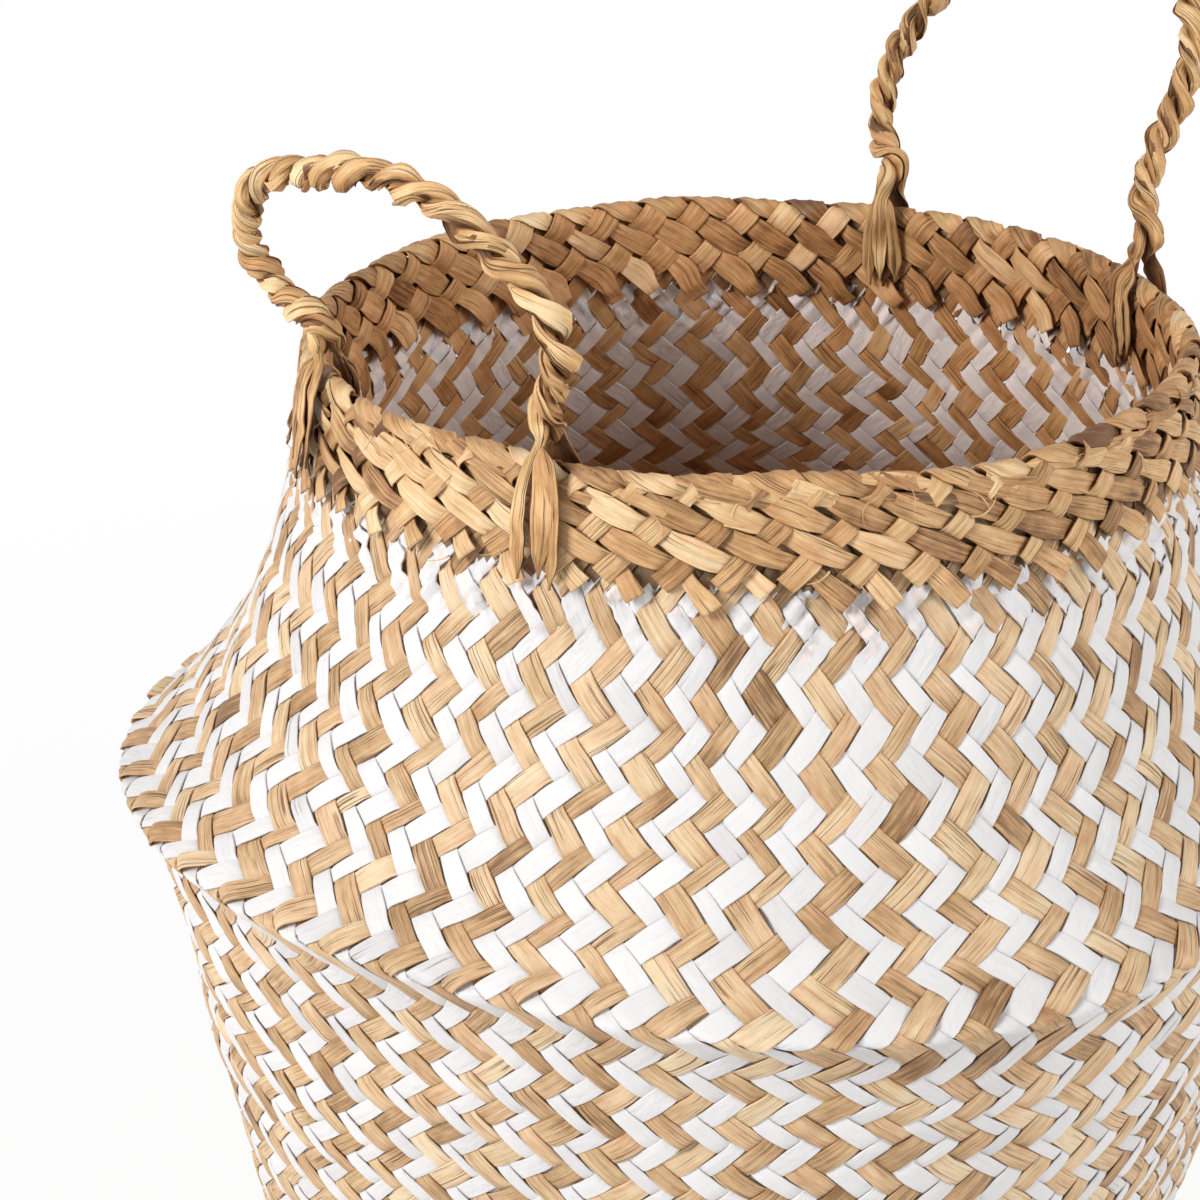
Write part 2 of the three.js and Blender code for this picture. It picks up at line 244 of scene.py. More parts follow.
# Handles, as in the frame
HANDLE_LEAN = np.radians(18)
PLY_RADIUS = 2.05
PLY_OFFSET = 2.1
HINGE_HEIGHT = 295.5
KNUCKLE_RADIUS = 6.5
LEG_WIDTH = 9.6
LEG_TIP = 258.5
LEG_SHARES = np.array([[0, 0.5], [0.15, 0.62], [0.35, 0.85], [0.6, 0.95], [1, 1]])
LEG_SPREAD_RUN = 8.5
LEG_INSIDE_REACH = 8.0
LEG_LIFT = 1.9
LEFT_LOOP_SHARES = [
    [-0.75, 0.21],
    [-0.85, 0.35],
    [-0.88, 0.51],
    [-0.82, 0.67],
    [-0.65, 0.8],
    [-0.45, 0.92],
    [-0.2, 0.98],
    [0.07, 0.962],
    [0.35, 0.9],
    [0.62, 0.83],
    [0.83, 0.71],
    [0.97, 0.545],
    [1, 0.385],
    [0.93, 0.25],
    [0.81, 0.17],
]
RIGHT_LOOP_SHARES = [
    [-0.745, 0.17],
    [-0.73, 0.29],
    [-0.78, 0.44],
    [-0.8, 0.61],
    [-0.745, 0.775],
    [-0.58, 0.92],
    [-0.3, 1],
    [0.035, 0.99],
    [0.35, 0.92],
    [0.63, 0.8],
    [0.85, 0.64],
    [0.965, 0.49],
    [1, 0.345],
    [0.99, 0.22],
    [0.92, 0.13],
]
LEFT_LOOP = {
    "name": "left",
    "side": -1,
    "foot_y": 42.0,
    "reach": 61.5,
    "height": 61.8,
    "shares": LEFT_LOOP_SHARES,
    "lay": {"loose": 21.5, "tight": 11.5},
    "seed": 500,
}
RIGHT_LOOP = {
    "name": "right",
    "side": 1,
    "foot_y": 46.5,
    "reach": 57.0,
    "height": 84.0,
    "shares": RIGHT_LOOP_SHARES,
    "lay": {"loose": 19.0, "tight": 16.0},
    "seed": 550,
}
TIGHT_RUN = 60.0
TIGHT_FADE = 16.0
for rope_loop in (LEFT_LOOP, RIGHT_LOOP):
    rope_loop["foot_x"] = np.sqrt(RIM_RADIUS**2 - rope_loop["foot_y"] ** 2)
    rope_loop["foot_turn"] = np.arctan2(rope_loop["foot_y"], rope_loop["foot_x"])
BLADES_PER_PLY = 3
BLADE_REACH = np.radians(76)
BLADE_THICKNESSES = {"rope": 0.3, "leg": 0.5}
CORE_DEPTH = 0.4
# Across the leg, out from it and wide: places of the three blades and of the core under them
LEG_PLACES = np.array([-0.86, 0.08, 0.86, 0])[:, None]
LEG_STACKS = np.array([0.1, 0.85, 0.3, -0.5])[:, None]
LEG_HALF_WIDTHS = np.array([2.1, 2.6, 2.0, 3.4])[:, None]
LEG_WIDTH_SHARES = np.array([[0, 0.6], [0.15, 0.8], [0.5, 1.05], [0.75, 1.0], [1, 0.9]])
# On the legs: how far a blade bows sideways, and out from the leg's middle, how much of the rope's lift and
# what crown it has, and its width at the tip as a share
LEG_BOW = 0.9
LEG_BOW_OUT = 0.6
LEG_LIFT_SHARE = 0.6
LEG_CROWN = 0.5
TIP_SHARE = 0.1
TIP_RUN = 7.0
# How much of the line each blade leaves free at its tips, from and to, and how much the core does
BLADE_TRIM = (1, 10)
CORE_TRIM = 7
# A blade turns from leg to rope from this far below the fold line, over this run
BLEND_DROP = 6
BLEND_RUN = 8
# On the rope: the share of the lay that the blades follow, how far their starts differ, in radians, the
# ply's usual thickness as a share of its radius, and how far one edge of a blade stands out and one in
LAY_SHARE = 0.5
START_SPREAD = 0.3
BULGE_MIDDLE = 1.04
EDGE_LIFT = 0.48
GRAIN_HALF_WIDTH = 2.3
# Step and size of each slow random line of a blade, and which of them are creased
ROPE_WANDERS = {
    "turn": (9, 0.5),
    "lift": (3.4, 0.34, True),
    "reach": (7, 0.16, True),
    "bulge": (8, 0.19, True),
    "edge": (4, 0.36, True),
    "place": (14, 0.5),
    "width": (9, 0.12),
    "lean": (9, 0.4, True),
    "tone": (11, 0.14),
}
ROPE_TONE = (0.49, 0.13)
# The core's tone is dark: painted shade in the gaps between the blades
CORE_SHADE_TONE = 0.1


# Lines and noise


def smooth(share):
    """Smoothstep: 3 x^2 - 2 x^3 of the share, held between 0 and 1."""
    share = np.clip(share, 0, 1)
    return share * share * (3 - 2 * share)


def arc_length(points):
    """Distance along a polyline to each of its points."""
    return np.r_[0, np.linalg.norm(np.diff(points, axis=0), axis=1).cumsum()]


def read_along(marks, along, points):
    """The polyline's points at the marks, read between its own at their distances along it."""
    return np.stack([np.interp(marks, along, column) for column in points.T], -1)


def resampled(points, step):
    """The same polyline with its points evenly a step apart."""
    along = arc_length(points)
    marks = np.linspace(0, along[-1], int(round(along[-1] / step)) + 1)
    return read_along(marks, along, points)


def tangents(points, along):
    """The unit ways along a polyline at its points."""
    tangent = np.gradient(points, along, axis=0)
    return tangent / np.linalg.norm(tangent, axis=1, keepdims=True)


def eased(points, times):
    """Each inner point moves to half of itself and a quarter of each neighbour, several times over."""
    points = points.copy()
    for _ in range(times):
        points[1:-1] = points[:-2] / 4 + points[1:-1] / 2 + points[2:] / 4
    return points


def wander(seed, count, length, step, size, creased=False):
    """A slow random line for each of count strips: random knots a step apart, joined by smoothsteps, or by
    straight lines where it is creased."""
    knots = np.random.default_rng(seed).normal(0, size, (count, int(length / step) + 3))

    def value(which, at):
        at = np.clip(at / step, 0, knots.shape[1] - 2 + 0.999)
        first = at.astype(int)
        after = np.minimum(first + 1, knots.shape[1] - 1)
        blend = at - first if creased else smooth(at - first)
        return knots[which, first] * (1 - blend) + knots[which, after] * blend

    return value


def waves(seed, count, size, turns, lengths):
    """Hand-made unevenness: a sum of cosines of whole turns round the basket and of the distance down it."""
    rng = np.random.default_rng(seed)
    around = rng.integers(turns[0], turns[1], count)
    down = WHOLE_TURN / rng.uniform(lengths[0], lengths[1], count) * rng.choice([-1, 1], count)
    phase = rng.uniform(0, WHOLE_TURN, count)

    def value(turn, distance):
        total = 0
        for k, d, p in zip(around, down, phase):
            total = total + np.cos(k * turn + d * distance + p)
        return total * size * np.sqrt(2 / count)

    return value


# The wall's surface


def corner_share(height):
    """How far the plan stands out at its four soft corners: most at the base, none from the band up."""
    low = BASE_CORNER_SHARE + (FOLD_CORNER_SHARE - BASE_CORNER_SHARE) * height / FOLD_HEIGHT
    high = FOLD_CORNER_SHARE * (1 - np.clip((height - FOLD_HEIGHT) / (BAND_FOOT - FOLD_HEIGHT), 0, 1))
    return np.where(height < FOLD_HEIGHT, low, high)


def wall_outline():
    """Radius and height of the wall's outside from the rim's layers down, over the fold and into the base."""
    upper = np.stack(
        [
            NECK_RADIUS + (FOLD_RADIUS - NECK_RADIUS) * UPPER_WALL_SHARES[:, 1],
            BAND_FOOT + (FOLD_HEIGHT - BAND_FOOT) * UPPER_WALL_SHARES[:, 0],
        ],
        1,
    )
    upper = np.vstack([[RIM_RADIUS + WALL / 2, LAYERS_TOP], upper])
    lower = np.stack(
        [
            FOLD_RADIUS + (BASE_RADIUS - FOLD_RADIUS) * LOWER_WALL_SHARES[:, 1],
            FOLD_HEIGHT + (BASE_TURN - FOLD_HEIGHT) * LOWER_WALL_SHARES[:, 0],
        ],
        1,
    )
    angle = np.linspace(0, np.pi / 2, 12)[1:, None]
    flat = BASE_RADIUS - BASE_TURN
    turn = np.hstack([flat + BASE_TURN * np.cos(angle), BASE_TURN - BASE_TURN * np.sin(angle)])
    turn = np.vstack([turn, [[flat - WALL_TUCK, 0]]])
    upper = eased(resampled(upper, 1), 30)
    lower = eased(resampled(lower, 1), 24)
    return eased(resampled(np.vstack([upper, lower[1:], turn]), OUTLINE_STEP), 8), arc_length(upper)[-1]


outline, fold_distance = wall_outline()
outline_along = arc_length(outline)
outline_tangent = tangents(outline, outline_along)
row_height = np.interp(outline_along - fold_distance, ROW_HEIGHTS[:, 0], ROW_HEIGHTS[:, 1])
outline_rows = np.r_[0, (np.diff(outline_along) / row_height[1:]).cumsum()]
wall_rows = outline_rows[-1]
fold_rows = np.interp(fold_distance, outline_along, outline_rows)
wall_dents = waves(6, 24, 0.1, (16, 50), (12, 30))


def hand_swell(turn, height):
    """The frame's slow waves: a sum of cosines of the azimuth and the height, faded near base and band."""
    free = smooth((height - BASE_TURN) / (2 * BASE_TURN))
    free = free * smooth((BAND_FOOT - height) / (RIM_HEIGHT - BAND_FOOT))
    total = 0
    for around, up, start in WALL_WAVE_SHARES:
        total = total + np.cos(around * turn + WHOLE_TURN * (up * height / RIM_HEIGHT + start))
    return SWELL * free * total


def beside_profile(distance, out, along, line, tangent):
    """Radius and height at a distance along a profile, set out square to its tangent."""
    radius = np.interp(distance, along, line[:, 0]) - np.interp(distance, along, tangent[:, 1]) * out
    height = np.interp(distance, along, line[:, 1]) + np.interp(distance, along, tangent[:, 0]) * out
    return radius, height


def around_axis(turn, radius, height):
    """A point from its azimuth, its distance from the basket's axis and its height."""
    return np.stack([radius * np.cos(turn), radius * np.sin(turn), height], -1)


def on_wall(turn, distance, out):
    """A point at an azimuth and a distance down the wall, set out along the wall's normal.

    The radius swells by the corner share times the cosine of four times the azimuth from a corner.
    """
    free = smooth((distance - 20) / 25) * smooth((np.interp(distance, outline_along, outline[:, 1]) - 4) / 20)
    out = out + free * wall_dents(turn, distance)
    radius, height = beside_profile(distance, out, outline_along, outline, outline_tangent)
    radius = radius * (1 + corner_share(height) * np.cos(4 * (turn - CORNER_TURN))) + hand_swell(turn, height)
    return around_axis(turn, radius, height)


# Strips

# Points round a strip's section: share of its half width, and share of its thickness above its middle
SECTION_ACROSS = np.array([-1, -0.93, -0.35, 0.35, 0.93, 1, 0.93, -0.93])
SECTION_UP = np.array([0, 0.5, 0.5, 0.5, 0.5, 0, -0.5, -0.5])
STRIP_CORNERS = (1, 4, 6, 7)
# Painted shade in a strip's tone at each section point: full at the edges, half on the underside
EDGE_SHADE = np.array([1, 0, 0, 0, 0, 1, 0.5, 0.5])


def link_to_scene(thing):
    """Links an object to the scene's collection, and gives it back."""
    bpy.context.scene.collection.objects.link(thing)
    return thing


def strips_mesh(name, points, grain, tone, inner, material, corners_at=STRIP_CORNERS):
    """Closed strips as one mesh: points[strip, along, around] are joined in rings, with a face at each end.
    The edges along the strip are crisp at the section points of corners_at.

    Each point carries its strip's tone, with any painted shade in it, and 1 as its inner share where it faces
    the inside of the basket, where the materials paint a warm bounce light and shade.
    """
    count, length, around = points.shape[:3]
    index = np.arange(count * length * around).reshape(count, length, around)
    ahead = np.roll(index, -1, axis=2)
    quads = np.stack([index[:, :-1], index[:, 1:], ahead[:, 1:], ahead[:, :-1]], -1).reshape(-1, 4)
    starts = index[:, 0, :]
    ends = index[:, -1, ::-1]
    flat = points.reshape(-1, 3)
    a, b, c, d = (flat[quads[:, k]] for k in range(4))
    if (np.einsum("ij,ij->i", np.cross(c - a, d - b), (a + b + c + d) / 4)).sum() < 0:
        quads, starts, ends = quads[:, ::-1], starts[:, ::-1], ends[:, ::-1]
    corners = np.concatenate([quads.ravel(), starts.ravel(), ends.ravel()])
    totals = np.concatenate([np.full(len(quads), 4), np.full(2 * count, around)])
    mesh = bpy.data.meshes.new(name)
    mesh.vertices.add(len(flat))
    mesh.vertices.foreach_set("co", (flat * MM).astype(np.float32).ravel())
    mesh.loops.add(len(corners))
    mesh.loops.foreach_set("vertex_index", corners.astype(np.int32))
    mesh.polygons.add(len(totals))
    mesh.polygons.foreach_set("loop_start", np.r_[0, totals.cumsum()[:-1]].astype(np.int32))
    mesh.polygons.foreach_set("loop_total", totals.astype(np.int32))
    mesh.polygons.foreach_set("use_smooth", np.ones(len(totals), bool))
    mesh.update(calc_edges=True)
    edges = np.empty(2 * len(mesh.edges), np.int32)
    mesh.edges.foreach_get("vertices", edges)
    place = edges.reshape(-1, 2) % around
    crisp = (place[:, 0] == place[:, 1]) & np.isin(place[:, 0], corners_at)
    mesh.attributes.new("sharp_edge", "BOOLEAN", "EDGE").data.foreach_set("value", crisp)
    layer = mesh.uv_layers.new(name="grain")
    layer.data.foreach_set("uv", grain.reshape(-1, 2)[corners].astype(np.float32).ravel())
    for title, values in (("tone", tone), ("inner", inner)):
        attribute = mesh.attributes.new(title, "FLOAT", "POINT")
        spread = np.broadcast_to(values, points.shape[:3])
        attribute.data.foreach_set("value", spread.astype(np.float32).ravel())
    mesh.materials.append(material)
    return link_to_scene(bpy.data.objects.new(name, mesh))


def grain_of(points, across, seed):
    """Grain in millimetres for a strip: across its width, and along its middle line from a random start."""
    middle = points.mean(2)
    step = np.linalg.norm(np.diff(middle, axis=1), axis=2)
    along = np.concatenate([np.zeros((len(step), 1)), step.cumsum(1)], 1)
    rng = np.random.default_rng(seed)
    start = rng.uniform(0, 4000, (len(step), 2))
    grain = np.empty(points.shape[:3] + (2,))
    grain[..., 0] = across + start[:, None, None, 0]
    grain[..., 1] = along[:, :, None] + start[:, None, None, 1]
    return grain


def hand_laid(slant, seed):
    """Where the edge between strip k and strip k + 1 lies, in pitches, a number of rows down the wall.

    White strips have even numbers. Where they are narrower, the edge shifts towards them. Each edge is also
    off by hand, and drifts slowly down the wall.
    """
    rng = np.random.default_rng(seed)
    usual, most = EDGE_OFFSETS
    fixed = rng.normal(0, usual, WALL_STRIPS).clip(-most, most)
    drift = wander(seed + 1, WALL_STRIPS, wall_rows + 6, *WALL_WANDERS["place"])

    def edge(k, rows):
        share = np.interp(rows, [0, fold_rows, fold_rows + BELOW_FOLD_ROWS], WHITE_SHARES[slant])
        narrow = (1 - share) / 2
        which = k % WALL_STRIPS
        return k + 0.5 + np.where(k % 2 == 0, -narrow, narrow) + fixed[which] + drift(which, rows)

    return edge


rising_edge = hand_laid("rising", 11)
falling_edge = hand_laid("falling", 12)
column_sway = waves(15, 9, 0.10, (3, 20), (50, 160))
row_sway = waves(16, 9, 0.9, (3, 16), (50, 160))
crumple = waves(17, 30, 0.8, (60, 190), (5, 12))


def plait_point(column, rows, out):
    """A point of the wall's plait: columns run round the basket, rows down the wall, with a slight drift."""
    distance = np.interp(rows, outline_rows, outline_along)
    drift = COLUMN_DRIFT * smooth(distance / fold_distance)
    turn = COLUMN_PHASE + WHOLE_TURN * column / WALL_STRIPS + drift
    free = smooth(rows / 4) * smooth((wall_rows - rows) / 3)
    turn = turn + column_sway(turn, distance) * WHOLE_TURN / WALL_STRIPS * free
    distance = distance + row_sway(turn, distance) * free
    return on_wall(turn, distance, out), distance, turn


def over_under(at):
    """How high a strip that goes two over and two under stands, from -1 to 1, by the cells along it: a sine
    within a share of a cell of each edge, and flat between."""
    reach = np.abs(at - 2 * np.round(at / 2))
    over = np.where(np.floor(at / 2) % 2 == 0, 1.0, -1.0)
    return over * np.sin(np.pi / 2 * np.minimum(reach / BEND_SHARE, 1))


def wall_strips(rising, numbers, white, seed):
    """Strips of one slant and one finish, plaited two over and two under. White ones are bare under the band,
    and coloured dark there as painted shade.

    A rising strip i and a falling strip j cross at column (i + j) / 2 and row (i - j) / 2. The rising strip
    is on top where i - j leaves 0 or 1 when divided by 4.
    """
    cells = int(np.floor(2 * wall_rows))
    share = np.arange(SAMPLES_PER_CELL) / SAMPLES_PER_CELL
    at = np.append((np.arange(cells)[:, None] + share).ravel(), cells)
    cell = np.minimum(at.astype(int), cells - 1)
    part = at - cell
    number = numbers[:, None]
    rows = np.broadcast_to(at / 2, (len(numbers), len(at)))
    if rising:
        other = number - cell
        along = falling_edge(other, rows) * (1 - part) + falling_edge(other - 1, rows) * part
        low, high = rising_edge(number - 1, rows), rising_edge(number, rows)
    else:
        other = number + cell
        along = rising_edge(other - 1, rows) * (1 - part) + rising_edge(other, rows) * part
        low, high = falling_edge(number - 1, rows), falling_edge(number, rows)
    rise = over_under(at) * (1 if rising else -1)
    rng = np.random.default_rng(seed)
    slack = rng.uniform(0, 1, len(numbers)) ** 3 * FIT_SLACK
    nibble = wander(seed + 1, len(numbers), 2 * cells + 2, *WALL_WANDERS["nibble"])
    float_share = np.where(rise > 0, np.sin(np.pi * (at % 2) / 2), 0)
    on_top = 0.5 + 0.5 * rise
    fit = FIT_UNDER - on_top * (FIT_LOSS - FLOAT_GAIN * float_share + slack[:, None])
    half = (high - low) / 2
    middle = (high + low) / 2
    which = np.arange(len(numbers))[:, None]
    left = middle - half * fit + nibble(which, rows)
    right = middle + half * fit + nibble(which, rows + wall_rows)
    edge_share = (SECTION_ACROSS + 1) / 2
    across = left[..., None] * (1 - edge_share) + right[..., None] * edge_share
    crown = STRIP_CROWN * on_top
    up = STRIP_THICKNESS * SECTION_UP + crown[:, None] * (1 - SECTION_ACROSS**2)
    tilt = wander(seed + 2, len(numbers), wall_rows + 3, *WALL_WANDERS["tilt"])(which, rows)
    out = FLOAT_RISE * rise[:, None] + FLOAT_BOW * float_share[:, None] + up
    out = out[None] - WALL / 2 + tilt[..., None] * SECTION_ACROSS * (rise[None, :, None] > 0)
    if rising and not white:
        pop = rng.uniform(*FOLD_POP, (len(numbers), 1)) * on_top
        beyond = (rows - fold_rows + POP_ABOVE) / POP_REACH
        out = out + (pop * np.exp(-(beyond**2)))[..., None]
    if rising:
        column, row = (across + along[..., None]) / 2, (across - along[..., None]) / 2
    else:
        column, row = (along[..., None] + across) / 2, (along[..., None] - across) / 2
    points, distance, turn = plait_point(column, row, out)
    if white:
        near_band = smooth((distance - CRUMPLE_FADES["start"]) / CRUMPLE_FADES["in"])
        near_band = near_band * (1 - smooth((distance - CRUMPLE_FADES["end"]) / CRUMPLE_FADES["out"]))
        points, distance, turn = plait_point(column, row, out + crumple(turn, distance) * near_band)
    width = np.linalg.norm(points[:, :, 5] - points[:, :, 0], axis=2)[..., None] / 2
    grain = grain_of(points, SECTION_ACROSS * width, seed + 3)
    tone = rng.normal(*WALL_TONE, len(numbers))[:, None]
    tone = tone + wander(seed + 4, len(numbers), wall_rows + 3, *WALL_WANDERS["tone"])(which, rows)
    tone = tone[..., None] - WALL_EDGE_SHADE * EDGE_SHADE
    if white:
        # Under the band the white strips are bare leaf, coloured dark as painted shade in the band's gaps
        tone = np.maximum(tone, PAINTED_LEAST) - BARE_SHADED_DROP * (distance < BARE_SHADED_END)
    return points, grain, tone, SECTION_UP < 0


def build_walls(materials):
    """Both slants in both finishes, in two halves each, so that no piece gets too heavy."""
    numbers = np.arange(WALL_STRIPS)
    for rising, slant in ((True, "rising"), (False, "falling")):
        for white, finish in ((True, "white"), (False, "natural")):
            chosen = numbers[numbers % 2 == (0 if white else 1)]
            for half, part in enumerate(np.split(chosen, 2)):
                seed = 100 + 40 * half + 10 * white + 20 * rising
                slot = f"{finish}_strips"
                name = f"{slant}_{finish}_strips_{half + 1}"
                piece = strips_mesh(name, *wall_strips(rising, part, white, seed), materials[slot])
                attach(piece, "basket")
                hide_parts("upper_wall", "lower_wall")


def build_base(material):
    """The flat base: straight strips of two directions, two over and two under, cut to a soft square."""
    offsets = np.arange(-BASE_REACH, BASE_REACH + 1) * BASE_PITCH
    angle = np.linspace(0, WHOLE_TURN, 721)
    rim = BASE_RADIUS - BASE_TURN - BASE_MARGIN
    rim = rim * (1 + BASE_CORNER_SHARE * np.cos(4 * (angle - CORNER_TURN)))
    for direction, name in ((0, "base_strips_lengthwise"), (1, "base_strips_crosswise")):
        heading = CORNER_TURN + direction * np.pi / 2
        cross = rim * np.sin(angle - heading)
        ahead = rim * np.cos(angle - heading)
        front = ahead > 0
        order = np.argsort(cross[front])
        half_length = np.interp(offsets, cross[front][order], ahead[front][order])
        inside = np.abs(offsets) < cross.max() - BASE_PITCH / 2
        kept = offsets[inside]
        along = half_length[inside][:, None] * np.linspace(-1, 1, 150)
        number = np.round(kept / BASE_PITCH)[:, None]
        at = along / BASE_PITCH + 0.5 + number * (1 if direction else -1) + 2 * direction
        across = SECTION_ACROSS * (BASE_PITCH / 2 * BASE_STRIP_SHARE)
        side = kept[:, None, None] + across
        up = BASE_MIDDLE + BASE_RISE * over_under(at)[..., None] + BASE_THICKNESS * SECTION_UP
        x = along[..., None] * np.cos(heading) - side * np.sin(heading)
        y = along[..., None] * np.sin(heading) + side * np.cos(heading)
        points = np.stack([x, y, np.broadcast_to(up, x.shape)], -1)
        grain = grain_of(points, across, 300 + direction)
        tone = np.random.default_rng(310 + direction).normal(0.5, 0.18, len(kept))
        piece = strips_mesh(name, points, grain, tone[:, None, None], SECTION_UP > 0, material)
        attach(piece, "basket")
        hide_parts("base_panel")


# Rim band


def band_outline():
    """Radius and height of the band's middle from its outer foot over the rim to its inner foot.

    The distance is 0 at the crest, grows down the outside and falls down the inside.
    """
    down = np.arange(BAND_REACH, -0.1, -1.0)
    outer, inner = (
        np.stack(beside_profile(down, out, outline_along, outline, outline_tangent), 1)
        for out in (BAND_SPACE, -WALL - BAND_SPACE)
    )
    angle = np.linspace(0, np.pi, 15)[1:-1]
    half = (outer[-1, 0] - inner[-1, 0]) / 2
    crest = np.stack([inner[-1, 0] + half + half * np.cos(angle), LAYERS_TOP + CREST_RISE * np.sin(angle)], 1)
    line = eased(resampled(np.vstack([outer, crest, inner[::-1]]), OUTLINE_STEP), 4)
    along = arc_length(line)
    return line, along[np.argmax(line[:, 1])] - along


band_line, band_along = band_outline()
band_tangent = tangents(band_line, band_along)
band_swell = waves(25, 12, 0.45, (3, 18), (20, 60))
rim_swell = waves(26, 8, 0.5, (2, 12), (200, 400))


def on_band(turn, distance, out):
    """A point at an azimuth and a distance over the rim band, set out along the band's normal."""
    out = out + 0.5 * band_swell(turn, distance)
    radius, height = beside_profile(distance, out, band_along[::-1], band_line[::-1], band_tangent[::-1])
    sway = np.interp(np.degrees(turn), RIM_SWAY[:, 0], RIM_SWAY[:, 1], period=360)
    height = height + sway + rim_swell(turn, 0 * distance) * RIM_SWELL_SHARE
    return around_axis(turn, radius, height)


band_down = np.arange(-BAND_SIDE_REACH, BAND_SIDE_REACH + 4, BAND_STEP)
band_side = smooth((band_down + 1) / 2)


def band_run(slant):
    """How far a strip of this slant goes round the rim, by the distance down the band: its slopes' sum."""
    slope = INNER_SLOPES[slant] * (1 - band_side) + OUTER_SLOPES[slant] * band_side
    if slant == "falling":
        tail = INNER_SLOPES["tail"] * (1 - band_side) + OUTER_SLOPES["tail"] * band_side
        slope = slope + (tail - slope) * smooth((np.abs(band_down) - TAIL_START) / 5)
    run = np.cumsum(slope) * BAND_STEP
    return run - np.interp(0, band_down, run)


band_runs = {"falling": band_run("falling"), "rising": band_run("rising")}
band_pitch = WHOLE_TURN * BAND_RADIUS / BAND_STRIPS


def beside_line(run, down, across):
    """Points beside lines on the unrolled band: run goes round the rim, down goes down the band, and across
    is measured square to the line."""
    run_step = np.gradient(run, axis=1)
    down_step = np.gradient(down, axis=1)
    length = np.hypot(run_step, down_step)
    side_run = run[..., None] - across * (down_step / length)[..., None]
    side_down = down[..., None] + across * (run_step / length)[..., None]
    return side_run, side_down


def band_points(run, down, across, out):
    """Points of strips on the band: a middle line, offsets across it and heights above the band's middle."""
    side_run, side_down = beside_line(run, down, across)
    return on_band(COLUMN_PHASE + side_run / BAND_RADIUS, side_down, out)


def band_strips(rising, seed):
    """One slant of the band's strips, one over and one under, from tail to tail over the rim.

    Two strips cross where the difference of their runs is a whole number of pitches. The falling strip is on
    top at even crossings, so also at the crest. Outside, both slants are twisted narrow just below the crest.
    """
    rng = np.random.default_rng(seed)
    slant = "rising" if rising else "falling"
    number = np.arange(BAND_STRIPS)[:, None]
    each = (BAND_STRIPS, 1)
    foot, top = (end + rng.uniform(-spread, spread, each) for end, spread in BAND_ENDS[slant])
    share = np.linspace(0, 1, 100)
    down = foot * (1 - share) + top * share
    runs = {slant: np.interp(down, band_down, values) for slant, values in band_runs.items()}
    crossing = (runs["falling"] - runs["rising"]) / band_pitch
    step = np.abs(crossing - 2 * np.round(crossing / 2))

    def drift(place, kind):
        """The slow random line of this kind, for each strip."""
        line = wander(seed + place, BAND_STRIPS, 2 * BAND_SIDE_REACH, *BAND_WANDERS[kind])
        return line(number, down + BAND_SIDE_REACH)

    off = rng.normal(0, BAND_PLACE_SPREAD, each) + drift(1, "off")
    twist = np.exp(-(((down - TWIST_PLACE) / TWIST_REACH) ** 2)) * rng.uniform(*TWIST_STRENGTHS, each)
    outside = np.interp(down, band_down, band_side)
    half = INNER_HALF_WIDTHS[slant] * (1 - outside) + OUTER_HALF_WIDTHS[slant] * outside
    half = half * (1 + drift(2, "pinch")) * (1 - TWIST_SHARES[slant] * twist)
    run = runs[slant]
    rise = np.sin(np.pi / 2 * np.clip((step - EDGE_SHARES[slant]) / BEND_SHARES[slant], -1, 1))
    tail = smooth((np.abs(down) - TAIL_LIFT_START) / TAIL_LIFT_RUN)
    if not rising:
        rise = -rise
        leaf = np.cos(np.pi / 2 * np.clip(step / EDGE_SHARES[slant], 0, 1))
        half = half * (LEAF_SHARES[0] + LEAF_SHARES[1] * leaf)
        run = run + rng.normal(0, TAIL_SWING, each) * np.clip(np.abs(down) - TAIL_START, 0, None)
        half = half * (1 - TAIL_NARROWING * tail)
    half = half * rng.uniform(*BAND_WIDTH_SHARES, each)
    run = run + off + number * band_pitch
    lift = tail * rng.uniform(*TAIL_LIFTS, each) * (0 if rising else 1)
    tilt = drift(3, "tilt") + TWIST_TILT * twist * rng.choice([-1, 1], each)
    up = BAND_THICKNESS * SECTION_UP
    up = up + (BAND_CROWN * (0.5 + 0.5 * rise))[..., None] * (1 - SECTION_ACROSS**2)
    out = (BAND_RISE * rise + lift)[..., None] + up
    out = out + tilt[..., None] * SECTION_ACROSS * (rise[..., None] > -0.5)
    across = half[..., None] * SECTION_ACROSS
    points = band_points(run, down, across, out)
    grain = grain_of(points, across, seed + 4)
    tone = rng.normal(*BAND_TONE, each) + drift(5, "tone")
    inner = (down[..., None] < -2) * (SECTION_UP >= 0)
    return points, grain, tone[..., None] - BAND_EDGE_SHADE * EDGE_SHADE, inner


